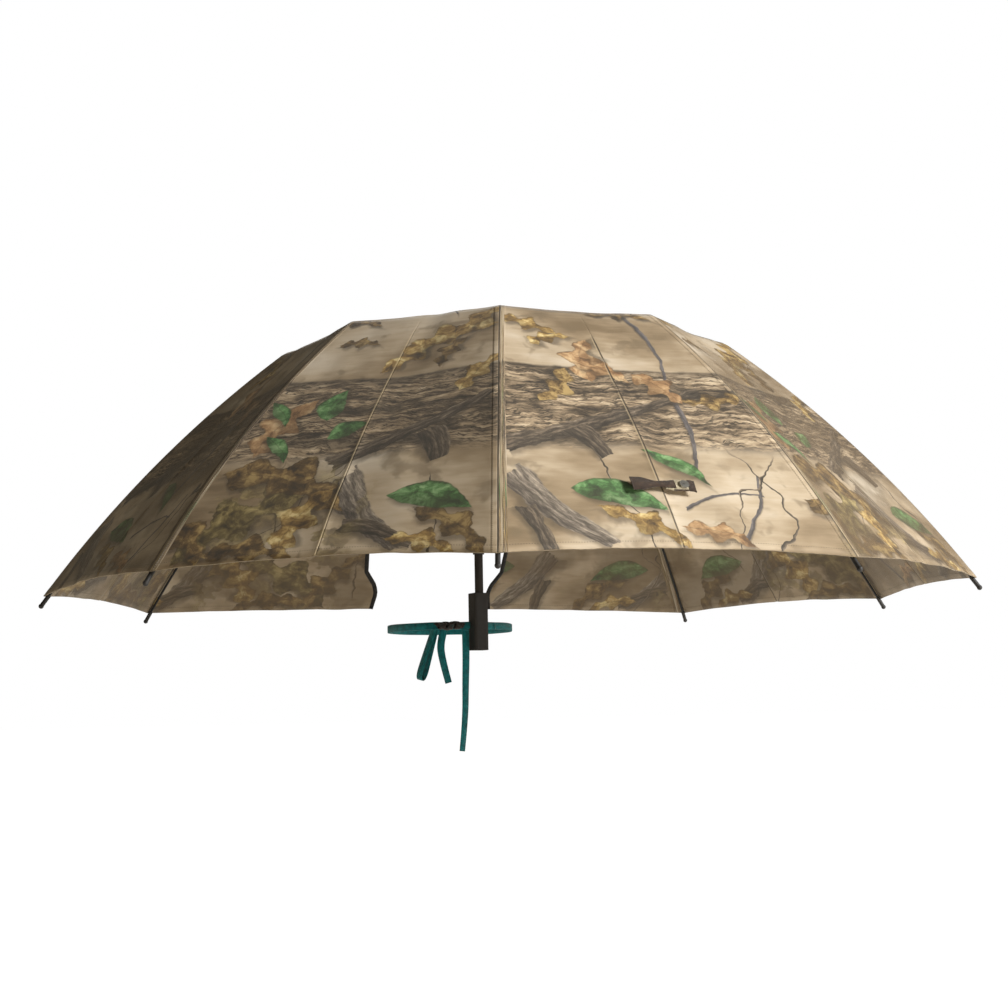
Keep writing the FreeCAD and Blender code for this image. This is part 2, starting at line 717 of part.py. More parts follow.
KNOT_BEARING = -16
KNOT_LONG, KNOT_HIGH, KNOT_DEEP = 27, 7.5, 5.5  # half sizes
LONG_TAIL_BEARING = -2.2
TAPE_GAP = 0.4
ROUNDING = 0.45  # share of a run that each corner's arc may take
SHORT_TAIL = [(0, 0), (-7, -22), (-3, -52), (7, -90)]  # across and up, from under the knot
LONG_TAIL = [(0, 0), (0.5, -40), (-1.5, -95), (-2.5, -150), (-9, -206)]
LOOP = [(0, 0), (2, -40), (4, -88), (-12, -88), (-9, -42), (-5, 0)]  # in and up
LOOP_TURN, LOOP_LEAN = -40, 16  # degrees: turned from the trunk, and leaning to the left
TAIL_CLEAR, LOOP_CLEAR, LONG_TAIL_CLEAR = 4, 9, 3  # tapes' middles from the strap's outside
TAIL_FROM_KNOT, LOOP_FROM_KNOT = -10, -24  # to the left of the knot's middle


def tree_strap(slot_face):
    """Tape round the trunk, drawn out on two straight stretches to the grip's slot."""
    high = size("strap_width")
    reach = size("grip_width") / 2 + CUT_MARGIN

    def loop(clear):
        radius = size("trunk_radius") + clear
        corner = Vector(reach, slot_face - clear, 0)
        span = corner.Length
        lean = math.degrees(math.atan2(corner.y, corner.x))
        turn = lean + math.degrees(math.acos(radius / span))
        touch = Rotation(Z_AXIS, turn).multVec(Vector(radius, 0, 0))
        mirrored = Vector(-touch.x, touch.y, 0)
        edges = [
            Part.Arc(touch, Vector(0, radius, 0), mirrored).toShape(),
            Part.LineSegment(mirrored, Vector(-corner.x, corner.y, 0)).toShape(),
            Part.LineSegment(Vector(-corner.x, corner.y, 0), corner).toShape(),
            Part.LineSegment(corner, touch).toShape(),
        ]
        return Part.Face(Part.Wire(edges))

    ring = loop(size("strap_thickness")).cut(loop(0))
    solid = ring.extrude(Vector(0, 0, high))
    item = keep_shape("tree_strap", solid)
    item.Placement = at(0, 0, -high / 2, Rotation(Z_AXIS, size("post_bearing")))


def rounded_path(name, points):
    """Straight runs joined by tangent arcs, each as large as its two runs allow."""
    edges, start, radii = [], points[0], []
    for before, corner, after in zip(points, points[1:], points[2:], strict=False):
        back, on = before - corner, after - corner
        reach = ROUNDING * min(back.Length, on.Length)
        half_turn = (math.pi - back.getAngle(on)) / 2
        radii.append(round(reach / math.tan(half_turn), 1))
        first = corner + back.normalize() * reach
        last = corner + on.normalize() * reach
        inward = ((first + last) / 2 - corner).normalize()
        radius = reach / math.tan(half_turn)
        middle = corner + inward * (math.hypot(radius, reach) - radius)
        edges.append(Part.LineSegment(start, first).toShape())
        edges.append(Part.Arc(first, middle, last).toShape())
        start = last
    edges.append(Part.LineSegment(start, points[-1]).toShape())
    path = Part.Wire(edges)
    print(name, "length", round(path.Length, 1), "radii", radii)
    return path


def hanging_tape(node, points, flat, place):
    """Tape swept along a path; flat is the direction through its thickness at the start."""
    path = rounded_path(node, points)
    ahead = (points[1] - points[0]).normalize()
    side = flat.cross(ahead).normalize() * (size("strap_width") / 2)
    through = flat * size("strap_thickness")
    start = points[0]
    corners = [start + side, start - side, start - side + through, start + side + through]
    profile = Part.makePolygon(corners + corners[:1])
    solid = path.makePipeShell([profile], True, False)
    section = size("strap_width") * size("strap_thickness")
    print(node, "volume share", round(solid.Volume / (section * path.Length), 3))
    keep_shape(node, solid).Placement = place


def on_strap(bearing, clear):
    """Frame on the strap's outside: X along it to the right, -Y away from the trunk."""
    reach = size("trunk_radius") + size("strap_thickness") + clear
    turn = Rotation(Z_AXIS, bearing)
    return Placement(turn.multVec(Vector(0, -reach, 0)), turn)


def make_tapes():
    """Knot, its loop and the strap's two free ends."""
    knot = doc.addObject("Part::Ellipsoid", "strap_knot")
    knot.Radius1, knot.Radius2, knot.Radius3 = KNOT_HIGH, KNOT_LONG, KNOT_DEEP
    knot.Angle2 = 90
    keep("strap_knot", knot, on_strap(KNOT_BEARING, KNOT_DEEP + TAPE_GAP))
    under = -KNOT_HIGH - TAPE_GAP
    outward = Vector(0, -1, 0)
    place = on_strap(KNOT_BEARING, TAIL_CLEAR).multiply(at(TAIL_FROM_KNOT, 0, under))
    hanging_tape("short_tail", [Vector(x, 0, z) for x, z in SHORT_TAIL], outward, place)
    turn = Rotation(Y_AXIS, LOOP_LEAN).multiply(Rotation(Z_AXIS, LOOP_TURN))
    place = on_strap(KNOT_BEARING, LOOP_CLEAR).multiply(at(LOOP_FROM_KNOT, 0, under, turn))
    hanging_tape("strap_loop", [Vector(0, y, z) for y, z in LOOP], outward, place)
    place = on_strap(LONG_TAIL_BEARING, LONG_TAIL_CLEAR).multiply(at(0, 0, under))
    hanging_tape("long_tail", [Vector(x, 0, z) for x, z in LONG_TAIL], outward, place)


# ---------------------------------------------------------------- the whole umbrella


def finish():
    """Check every object, then write each sub-part's own file."""
    doc.recompute()
    bad = [o.Name for o in doc.Objects if "Invalid" in o.State or "Error" in o.State]
    assert not bad, bad
    os.makedirs("parts", exist_ok=True)
    for node, item in parts.items():
        shape = item.Shape
        assert not shape.isNull() and shape.isValid() and shape.Volume > 0, node
        shape.exportStep(f"parts/{node}.step")
        box = shape.BoundBox
        print(f"{node:20s} solids {len(shape.Solids)} volume {shape.Volume:10.1f}", end=" ")
        print([round(x, 1) for x in (box.XMin, box.XMax, box.YMin, box.YMax, box.ZMin, box.ZMax)])
    print(len(parts), "parts")


make_mast()
make_crown()
make_runner()
for number, rib_bearing in enumerate(BEARINGS, start=1):
    inner_arm(f"inner_arm_{number}", rib_bearing)
    outer_rib(f"outer_rib_{number}", rib_bearing)
    rib_tip(f"rib_tip_{number}", rib_bearing)
    stretcher(f"stretcher_{number}", rib_bearing)
make_canopy()
make_closure()
tree_strap(make_grip())
make_tapes()
finish()
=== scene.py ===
"""Tree stand umbrella: cloth, tapes, materials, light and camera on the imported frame. Metres."""

import json
import math

import bpy
from mathutils import Matrix, Vector, noise


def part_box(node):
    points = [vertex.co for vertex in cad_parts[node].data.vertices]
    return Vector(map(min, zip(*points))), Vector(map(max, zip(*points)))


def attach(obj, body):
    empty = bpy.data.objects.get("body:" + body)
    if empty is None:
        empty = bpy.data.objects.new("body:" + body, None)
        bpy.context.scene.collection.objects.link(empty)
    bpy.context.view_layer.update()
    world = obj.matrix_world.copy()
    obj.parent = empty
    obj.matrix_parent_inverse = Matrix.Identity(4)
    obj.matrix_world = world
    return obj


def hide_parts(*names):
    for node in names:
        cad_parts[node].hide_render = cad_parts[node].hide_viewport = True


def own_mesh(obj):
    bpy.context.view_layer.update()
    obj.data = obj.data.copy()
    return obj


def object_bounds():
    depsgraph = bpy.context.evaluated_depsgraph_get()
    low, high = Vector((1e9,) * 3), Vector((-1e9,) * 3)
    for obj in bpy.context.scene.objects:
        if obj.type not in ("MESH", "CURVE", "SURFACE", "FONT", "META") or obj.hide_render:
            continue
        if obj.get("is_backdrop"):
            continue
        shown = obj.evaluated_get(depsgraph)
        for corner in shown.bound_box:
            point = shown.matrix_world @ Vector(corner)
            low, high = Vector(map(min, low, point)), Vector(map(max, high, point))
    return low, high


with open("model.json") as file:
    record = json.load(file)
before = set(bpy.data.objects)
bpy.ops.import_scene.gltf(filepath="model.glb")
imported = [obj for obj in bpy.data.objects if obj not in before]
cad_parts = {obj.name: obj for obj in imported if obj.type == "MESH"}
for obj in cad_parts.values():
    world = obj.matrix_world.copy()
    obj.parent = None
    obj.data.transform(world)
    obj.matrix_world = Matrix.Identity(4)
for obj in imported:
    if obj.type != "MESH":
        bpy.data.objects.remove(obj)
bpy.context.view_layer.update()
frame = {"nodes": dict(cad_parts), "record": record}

# ------------ dimensions

RIBS = 8
RIB_BEND = math.radians(17)
RIB_END = (0.705, 0.033)  # rib ends: off the canopy's axis, and above the strap
CLOTH_RISE = 0.0056  # cloth's middle above the rib's axis
CLOTH_THICK = 0.0008
CROWN_RISE = 0.0091  # the same above the crown pivots
CROWN_HOLE = 0.009
HEM_ARCH = 0.008
HEM_FOLD = 0.011  # cloth turned up at the hem
PANEL_SAG = 0.005
RIB_EASE = 0.010  # the cloth's rounding at the elbow, over a rib
PANEL_EASE = 0.022  # and what is added at mid panel
SLOW_RUCK, SLOW_GRAIN = 0.0022, 0.11
FINE_RUCK, FINE_GRAIN = 0.0010, 0.035
CREASE_HEIGHT, CREASE_WIDTH = 0.0012, 0.004
BINDING_WIDTH = 0.0085
BINDING_THICK = 0.0024
BAY_RADIUS = 0.14
BAY_FLAP = [(0.035, 0.127), (0.022, 0.109), (0.014, 0.105), (0.0, 0.111)]  # before the hem, half width
TAPE_WIDTH = 0.013
TAPE_THICK = 0.0015
PRINT_WIDTH = 0.9  # the print's repeat round the canopy
PANEL_WIDTH = 0.459  # of a panel at its hem
PRINT_STEP = PANEL_WIDTH + PRINT_WIDTH  # between the panels' places on the printed cloth
PRINT_START = 3 * PRINT_STEP - PANEL_WIDTH / 2 - 5 * PRINT_WIDTH  # a repeat starts at each other rib
LOG_TOP, LOG_FOOT = 0.165, 0.355  # the print's bark band, below the elbows
LEAFY_MIDDLE = 0.58  # where the print's ground is strewn with leaves
LEAF_EDGE = 0.0012  # a printed leaf's edge fades over this
VEIN_STEP = 0.012
SHADOW_SIDE = -0.004  # a leaf's shadow falls to this side of it
STITCH = 0.0034  # from stitch to stitch
TAPE_RIB = 0.0012  # from rib to rib of the tape's weave
WAVE = 6.283  # radians in one wave

# ------------ the frame's own places

joints = {joint["name"]: joint for joint in frame["record"]["behaviour"]["joints"]}
shaft_low, shaft_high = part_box("shaft")
AXIS_Y = (shaft_low.y + shaft_high.y) / 2


def pivot(name):
    return Vector(joints[name]["pos_m"])


def off_axis(point):
    return math.hypot(point.x, point.y - AXIS_Y)


CROWN = (off_axis(pivot("arm_fold_1")), pivot("arm_fold_1").z)
ELBOW = (off_axis(pivot("rib_fold_1")), pivot("rib_fold_1").z)
BEARINGS = []
for number in range(1, RIBS + 1):
    spot = pivot(f"rib_fold_{number}")
    BEARINGS.append(math.atan2(spot.x, -(spot.y - AXIS_Y)))
HALF_BAY = math.pi - BEARINGS[-1]  # from straight behind to a rib beside the bay

CHORD = math.dist(ELBOW, RIB_END)
CHORD_SLOPE = math.atan2(ELBOW[1] - RIB_END[1], RIB_END[0] - ELBOW[0])
BOW = CHORD / 2 / math.sin(RIB_BEND / 2)
TOP_SLOPE = CHORD_SLOPE - RIB_BEND / 2
BOW_CENTRE = (ELBOW[0] - BOW * math.sin(TOP_SLOPE), ELBOW[1] - BOW * math.cos(TOP_SLOPE))
SKIRT = RIB_BEND * (BOW + CLOTH_RISE)


def on_bow(distance):
    """Cloth over a rib, that far along it from the elbow, as (radius, height)."""
    slope = TOP_SLOPE + distance / (BOW + CLOTH_RISE)
    reach = BOW + CLOTH_RISE
    return Vector((BOW_CENTRE[0] + reach * math.sin(slope), BOW_CENTRE[1] + reach * math.cos(slope)))


KINK = on_bow(0)
CROWN_EDGE = Vector((CROWN_HOLE, CROWN[1] + CROWN_RISE))
TOP = (KINK - CROWN_EDGE).length


def meridian(distance, ease):
    """Cloth along a rib line: distance from the elbow, negative towards the crown; ease rounds the kink."""
    inward = (CROWN_EDGE - KINK).normalized()

    def straight(d):
        return on_bow(d) if d >= 0 else KINK - inward * d

    if abs(distance) >= ease:
        return straight(distance)
    share = (distance + ease) / (2 * ease)
    first, last = straight(-ease), straight(ease)
    return first * (1 - share) ** 2 + KINK * 2 * share * (1 - share) + last * share**2


def radial(bearing, radius, height):
    return Vector((radius * math.sin(bearing), AXIS_Y - radius * math.cos(bearing), height))


def ripple(u, v, grain, seed):
    """Smooth noise from -1 to 1."""
    return noise.noise(Vector((u / grain, v / grain, seed)))


def panel_bearings(panel):
    """Bearings of the two ribs beside a panel, the second always the greater."""
    left, right = BEARINGS[panel], BEARINGS[(panel + 1) % RIBS]
    return left, right + 2 * math.pi if right < left else right


def cloth_point(panel, across, distance):
    """Point on the canopy, and its distance from the panel's middle: across runs from -1 to 1."""
    left, right = panel_bearings(panel)
    middle = 1 - across * across
    radius, height = meridian(distance, RIB_EASE + PANEL_EASE * middle)
    start, end = radial(left, radius, height), radial(right, radius, height)
    point = start.lerp(end, (across + 1) / 2)
    down = max(0.0, distance) / SKIRT
    point.z += HEM_ARCH * middle * down**3
    half = (end - start).length / 2
    u = across * half
    bearing = (left + right) / 2
    out = Vector((math.sin(bearing), -math.cos(bearing), 0.8)).normalized()
    sag = PANEL_SAG * middle * math.sin(math.pi * min(1.0, down * 0.9 + 0.1)) if distance > 0 else 0
    ruck = SLOW_RUCK * ripple(u * 2.2, distance * 0.8, SLOW_GRAIN, panel * 3.7) * (1 - across**4)
    ruck += FINE_RUCK * ripple(u, distance * 0.35, FINE_GRAIN, panel * 1.3 + 9) * (1 - across**4)
    crease = CREASE_HEIGHT * math.exp(-((u / CREASE_WIDTH) ** 2)) * min(1.0, max(0.0, down * 2 - 0.3))
    return point - out * sag + out * (ruck + crease), u


def bay_half_width(y):
    """Half width of the trunk's cut-out at a distance y behind the trunk's axis."""
    hem_y = AXIS_Y + on_bow(SKIRT).x * math.cos(HALF_BAY)
    if y < -BAY_RADIUS:
        return 0.0
    if y < 0:
        return math.sqrt(BAY_RADIUS**2 - y * y)
    start = (0.0, BAY_RADIUS)
    for before, half in BAY_FLAP:
        end = (hem_y - before, half)
        if y <= end[0]:
            return start[1] + (end[1] - start[1]) * (y - start[0]) / (end[0] - start[0])
        start = end
    return start[1]


BAY = RIBS - 1


def reach_across(panel, distance):
    """How far the cloth reaches from the middle of a panel: 0, or to the bay's edge, as a share."""
    if panel != BAY:
        return 0.0
    radius = meridian(distance, RIB_EASE).x
    y = AXIS_Y + radius * math.cos(HALF_BAY)
    return min(0.98, bay_half_width(y) / (radius * math.sin(HALF_BAY)))


# ------------ mesh helpers


def make_object(name, points, faces, materials, smooth=True):
    mesh = bpy.data.meshes.new(name)
    mesh.from_pydata([tuple(p) for p in points], [], faces)
    mesh.update()
    obj = bpy.data.objects.new(name, mesh)
    bpy.context.scene.collection.objects.link(obj)
    for material in materials:
        mesh.materials.append(material)
    if smooth:
        for polygon in mesh.polygons:
            polygon.use_smooth = True
    return obj


def grid_faces(rows, columns):
    faces = []
    for r in range(rows - 1):
        for c in range(columns - 1):
            a = r * columns + c
            faces.append((a, a + 1, a + columns + 1, a + columns))
    return faces


def band_profile(width, thick, bow):
    """A flat band's section, with rounded edges; bow lifts its middle."""
    half, deep = width / 2, thick / 2
    upper = [(-half, 0), (-half + deep, deep), (0, deep + bow), (half - deep, deep)]
    return upper + [(half, 0), (half - deep, -deep), (0, -deep + bow), (-half + deep, -deep)]


def heading(path, i):
    """Direction of a path at one of its points."""
    return (path[min(i + 1, len(path) - 1)] - path[max(i - 1, 0)]).normalized()


def ribbon(name, path, flats, width, thick, materials, bow=0.0):
    """Flat band swept along a path; flats are its outward normals, and width may be one for each point."""
    widths = width if isinstance(width, list) else [width] * len(path)
    points = []
    for i, centre in enumerate(path):
        ahead = heading(path, i)
        flat = flats[i] if isinstance(flats, list) else flats
        side = ahead.cross(flat).normalized()
        out = side.cross(ahead).normalized()
        points += [centre + side * a + out * b for a, b in band_profile(widths[i], thick, bow)]
    count = len(band_profile(1, 1, 0))
    faces = []
    for i in range(len(path) - 1):
        for j in range(count):
            k = (j + 1) % count
            faces.append((i * count + j, i * count + k, (i + 1) * count + k, (i + 1) * count + j))
    faces.append(tuple(range(count)))
    faces.append(tuple(reversed(range((len(path) - 1) * count, len(path) * count))))
    obj = make_object(name, points, faces, materials)
    uv = obj.data.uv_layers.new(name="tape")
    along = [0.0]
    for a, b in zip(path, path[1:]):
        along.append(along[-1] + (b - a).length)
    for polygon in obj.data.polygons:
        for loop in polygon.loop_indices:
            vertex = obj.data.loops[loop].vertex_index
            row = vertex // count
            uv.data[loop].uv = (band_profile(widths[row], thick, bow)[vertex % count][0], along[row])
    return obj


def nurbs_path(points, samples=24):
    """Points along the smooth line that has these as its control points."""
    curve = bpy.data.curves.new("route", "CURVE")
    curve.dimensions = "3D"
    spline = curve.splines.new("NURBS")
    spline.points.add(len(points) - 1)
    for target, point in zip(spline.points, points):
        target.co = (*point, 1)
    spline.order_u = 3
    spline.use_endpoint_u = True
    spline.resolution_u = samples
    obj = bpy.data.objects.new("route", curve)
    mesh = bpy.data.meshes.new_from_object(obj)
    line = [v.co.copy() for v in mesh.vertices]
    bpy.data.objects.remove(obj)
    return line


# ------------ materials


class Nodes:
    """A material's node tree, with a short way to wire each kind of node."""

    def __init__(self, name, roughness=0.8):
        self.material = bpy.data.materials.new(name)
        self.material.use_nodes = True
        self.tree = self.material.node_tree
        self.shader = self.tree.nodes["Principled BSDF"]
        self.shader.inputs["Roughness"].default_value = roughness

    def add(self, kind, inputs=(), **settings):
        node = self.tree.nodes.new(kind)
        for key, value in settings.items():
            setattr(node, key, value)
        for key, value in dict(inputs).items():
            self.set(node.inputs[key], value)
        return node

    def set(self, socket, value):
        if isinstance(value, bpy.types.NodeSocket):
            self.tree.links.new(value, socket)
        else:
            socket.default_value = value

    def math(self, operation, a, b=0.0, c=0.0):
        return self.add("ShaderNodeMath", {0: a, 1: b, 2: c}, operation=operation).outputs[0]

    def times(self, a, b):
        return self.math("MULTIPLY", a, b)

    def over(self, a, b):
        return self.math("DIVIDE", a, b)

    def plus(self, a, b):
        return self.math("ADD", a, b)

    def less(self, a, b):
        return self.math("SUBTRACT", a, b)

    def scaled(self, a, factor, added):
        return self.math("MULTIPLY_ADD", a, factor, added)

    def size(self, a):
        return self.math("ABSOLUTE", a)

    def waves(self, value, pitch):
        """Sine of a length, one wave for each pitch."""
        return self.math("SINE", self.times(value, WAVE / pitch))

    def uv(self, layer):
        return self.add("ShaderNodeUVMap", uv_map=layer).outputs[0]

    def split(self, vector):
        node = self.add("ShaderNodeSeparateXYZ", {0: vector})
        return node.outputs[0], node.outputs[1]

    def join(self, x, y, z=0.0):
        return self.add("ShaderNodeCombineXYZ", {0: x, 1: y, 2: z}).outputs[0]

    def move(self, vector, scale=(1, 1, 1), shift=(0, 0, 0), turn=0.0):
        place = {"Vector": vector, "Scale": scale, "Location": shift, "Rotation": (0, 0, turn)}
        return self.add("ShaderNodeMapping", place).outputs[0]

    def noise(self, vector, scale, detail=3.0, rough=0.55):
        sizes = {"Vector": vector, "Scale": scale, "Detail": detail, "Roughness": rough}
        return self.add("ShaderNodeTexNoise", sizes).outputs["Fac"]

    def warp(self, vector, scale, amount):
        """Shift each place by up to half of amount, smoothly, so that drawn edges turn irregular."""
        sizes = {"Vector": vector, "Scale": scale, "Detail": 3.0, "Roughness": 0.6}
        spread = self.add("ShaderNodeTexNoise", sizes).outputs["Color"]
        pull = {0: spread, 1: (amount, amount, 0.0), 2: (-amount / 2, -amount / 2, 0.0)}
        pulled = self.add("ShaderNodeVectorMath", pull, operation="MULTIPLY_ADD").outputs[0]
        return self.add("ShaderNodeVectorMath", {0: vector, 1: pulled}, operation="ADD").outputs[0]

    def ramp(self, value, low, high):
        """0 below low, 1 above high, smooth between; low may be above high."""
        span = {"Value": value, "From Min": low, "From Max": high}
        return self.add("ShaderNodeMapRange", span, interpolation_type="SMOOTHSTEP").outputs[0]

    def colours(self, value, *stops):
        """Colour ramp: stops are (position, sRGB colour in 0 to 255)."""
        node = self.add("ShaderNodeValToRGB", {0: value})
        band = node.color_ramp
        while len(band.elements) < len(stops):
            band.elements.new(0.5)
        for element, (position, colour) in zip(band.elements, stops):
            element.position = position
            element.color = linear(colour)
        return node.outputs[0]

    def mix(self, factor, under, over):
        node = self.add("ShaderNodeMix", data_type="RGBA")
        self.set(node.inputs[0], factor)
        self.set(node.inputs[6], under)
        self.set(node.inputs[7], over)
        return node.outputs[2]

    def tint(self, colour, mask, strength, over):
        """An sRGB colour laid over another where the mask is 1, that strongly."""
        return self.mix(self.times(mask, strength), colour, linear(over))

    def bump(self, height, distance, strength=1.0, after=None):
        sizes = {"Height": height, "Distance": distance, "Strength": strength}
        if after is not None:
            sizes["Normal"] = after
        return self.add("ShaderNodeBump", sizes).outputs[0]

    def finish(self, colour, normal=None, roughness=None):
        self.set(self.shader.inputs["Base Color"], colour)
        if normal is not None:
            self.set(self.shader.inputs["Normal"], normal)
        if roughness is not None:
            self.set(self.shader.inputs["Roughness"], roughness)
        return self.material


def linear(colour):
    """sRGB in 0 to 255, as Blender's linear colour."""
    shares = [c / 255 for c in colour]
    return (*[s / 12.92 if s <= 0.04045 else ((s + 0.055) / 1.055) ** 2.4 for s in shares], 1.0)


def scattered(n, place, cell, shift):
    """One motif in each cell: the place within the cell, turned at random, and two random numbers."""
    moved = n.move(place, shift=(shift, shift * 0.37, 0))
    cells = n.add("ShaderNodeTexVoronoi", {"Vector": moved, "Scale": 1 / cell, "Randomness": 0.8})
    cells.voronoi_dimensions = "2D"
    offset = n.add("ShaderNodeVectorMath", {0: moved, 1: cells.outputs["Position"]}, operation="SUBTRACT")
    colour = n.add("ShaderNodeSeparateColor", {0: cells.outputs["Color"]})
    angle = n.times(colour.outputs[0], 2 * math.pi)
    turned = n.add(
        "ShaderNodeVectorRotate", {"Vector": offset.outputs[0], "Angle": angle}, rotation_type="Z_AXIS"
    )
    x, y = n.split(turned.outputs[0])
    return x, y, colour.outputs[1], colour.outputs[2]


def leaf_shape(n, x, y, sizes, soft):
    """1 on a leaf, a bent pointed oval whose edge is cut into lobes, and its share from middle to edge."""
    half_length, half_width, lobes, depth = sizes
    along = n.over(x, half_length)
    along = n.add("ShaderNodeClamp", {"Value": along, "Min": -1.5, "Max": 1.5}).outputs[0]
    square = n.times(along, along)
    bent = n.scaled(square, half_length * 0.22, y)
    body = n.less(1.0, square)
    skew = n.scaled(along, -0.28, 1.0)
    wave = n.math("COSINE", n.times(along, lobes))
    edge = n.scaled(wave, depth, 1.0 - depth)
    width = n.times(n.times(body, skew), n.times(edge, half_width))
    side = n.size(bent)
    inside = n.ramp(n.less(width, side), -soft, soft)
    return inside, bent, n.over(side, n.math("MAXIMUM", width, 0.0005))


def leaf_shadow(n, x, y, sizes, drop):
    """1 where a leaf's shadow falls, that far down and with so soft an edge."""
    shadow, _, _ = leaf_shape(n, n.plus(x, SHADOW_SIDE), n.plus(y, drop), sizes, drop)
    return shadow


def leaf_layer(n, place, under, cell, sizes, palette, share, shift, gate=1.0):
    """Scattered leaves over a colour, each shaded from one side, with faint veins and a shadow below."""
    x, y, pick, tone = scattered(n, place, cell, shift)
    mask, bent, side = leaf_shape(n, x, y, sizes, LEAF_EDGE)
    shown = n.times(n.ramp(pick, share + 0.01, share - 0.01), gate)
    grain = n.noise(place, 90, 4, 0.6)
    lit = n.over(bent, sizes[1] * 7)
    light = n.plus(n.scaled(grain, 0.9, lit), n.scaled(tone, 0.14, -0.02))
    colour = n.colours(light, *palette)
    slanted = n.scaled(n.size(bent), -1.0, x)
    veins = n.ramp(n.waves(slanted, VEIN_STEP), 0.85, 1.0)
    rib = n.ramp(n.size(bent), 0.0013, 0.0002)
    lines = n.math("MAXIMUM", n.times(rib, 0.8), n.times(veins, 0.28))
    colour = n.mix(n.times(lines, 0.45), colour, linear(palette[-1][1]))
    curl = n.times(n.ramp(side, 0.6, 1.0), n.ramp(n.noise(place, 38, 1), 0.42, 0.6))
    colour = n.tint(colour, curl, 0.75, (46, 37, 27))
    shade = n.times(n.times(leaf_shadow(n, x, y, sizes, 0.005), shown), 0.78)
    under = n.mix(shade, under, linear((40, 33, 26)))
    return n.mix(n.times(mask, shown), under, colour)


def branch_layer(n, place, under, lay, palette, shift, keep, gate=1.0):
    """Wandering branches of one direction, streaked along their length and broken off here and there."""
    spacing, width, turn, wander_by = lay
    turned = n.move(place, turn=turn, shift=(shift, -shift, 0))
    x, y = n.split(turned)
    wander = n.times(n.noise(turned, 30, 2), 0.016)
    drift = n.scaled(n.noise(turned, 5.5, 2), wander_by, wander)
    lane = n.over(n.plus(y, drift), spacing)
    within = n.less(n.math("FRACT", lane), 0.5)
    number = n.math("FLOOR", lane)
    taper = n.noise(n.join(x, number), 4.0, 1)
    half = n.times(n.scaled(taper, 1.4, 0.3), width / spacing / 2)
    gap = n.ramp(n.noise(n.join(x, n.times(number, 3.7)), 3.1, 0), keep, keep + 0.02)
    across = n.over(n.size(within), half)
    mask = n.times(n.times(n.ramp(across, 1.06, 0.90), gap), gate)
    streaks = n.noise(n.join(n.times(x, 0.14), n.plus(y, drift)), 210, 4, 0.65)
    lit = n.scaled(n.over(within, half), 0.20, streaks)
    return n.mix(mask, under, n.colours(lit, *palette))


def placed(n, place, x, down, turn):
    """The place as seen from a motif that lies x across and down the print, turned that many degrees."""
    spot = {"Vector": place, "Location": (x, -down, 0), "Rotation": (0, 0, math.radians(turn))}
    return n.split(n.add("ShaderNodeMapping", spot, vector_type="TEXTURE").outputs[0])


def placed_leaf(n, place, under, lay, colour, lobes=(9.0, 0.34)):
    """One leaf over a colour: a blade with a lit and a shaded half, and a shadow on what's below."""
    x, down, turn, half_length, half_width = lay
    sizes = (half_length, half_width, *lobes)
    a, b = placed(n, place, x, down, turn)
    mask, bent, side = leaf_shape(n, a, b, sizes, LEAF_EDGE)
    below = leaf_shadow(n, a, b, sizes, 0.006)
    under = n.tint(under, below, 0.6, (48, 38, 26))
    shade = n.ramp(n.over(bent, half_width), 0.30, -0.75)
    rib = n.ramp(n.size(bent), 0.0014, 0.0003)
    rim = n.times(n.ramp(side, 0.72, 1.0), 0.55)
    lines = n.math("MAXIMUM", rim, n.times(rib, 0.4))
    dark = n.math("MAXIMUM", n.times(shade, 0.42), lines)
    return n.mix(mask, under, n.mix(dark, colour, linear((40, 31, 20))))


def placed_branch(n, place, under, lay, palette):
    """One branch over a colour: thick at its start and tapered, bent, streaked along its length."""
    x, down, turn, half_length, half_width, bend = lay
    a, b = placed(n, place, x, down, turn)
    along = n.over(a, half_length)
    bowed = n.scaled(n.times(along, along), bend, b)
    half = n.scaled(along, -0.35 * half_width, half_width * 0.85)
    half = n.times(half, n.scaled(n.noise(place, 22, 3), 1.3, 0.35))
    across = n.over(bowed, half)
    frayed = n.scaled(n.noise(place, 40, 3), 0.5, n.size(along))
    ends = n.ramp(frayed, 1.22, 1.19)
    mask = n.times(n.ramp(n.size(across), 1.06, 0.90), ends)
    below = n.times(n.ramp(n.size(n.plus(across, 0.45)), 1.5, 0.7), ends)
    under = n.tint(under, below, 0.5, (44, 36, 28))
    streaks = n.noise(n.join(n.times(a, 0.16), bowed), 190, 4, 0.7)
    lit = n.scaled(across, 0.07, streaks)
    return n.mix(mask, under, n.colours(lit, *palette))


def bark_colour(n, place):
    """Rough bark of a lying log: long cracks and pale ridges that run across the panel."""
    x, y = n.split(place)
    bowed = n.scaled(n.noise(place, 6, 2), 0.06, y)
    bowed = n.scaled(n.noise(place, 38, 3, 0.6), 0.016, bowed)
    along = n.join(n.times(x, 0.17), bowed)
    grain = n.noise(along, 150, 5, 0.7)
    broad = n.noise(along, 30, 3, 0.55)
    tone = n.scaled(grain, 0.66, n.times(broad, 0.36))
    colour = n.colours(
        tone,
        (0.40, (38, 31, 24)),
        (0.46, (82, 69, 54)),
        (0.51, (126, 108, 85)),
        (0.57, (170, 149, 121)),
        (0.65, (212, 192, 162)),
    )
    cracks = n.ramp(n.size(n.less(n.noise(along, 95, 3, 0.6), 0.5)), 0.034, 0.008)
    colour = n.tint(colour, cracks, 0.85, (34, 27, 21))
    deep = n.ramp(n.noise(along, 20, 2), 0.44, 0.36)
    return n.tint(colour, deep, 0.55, (30, 25, 20))


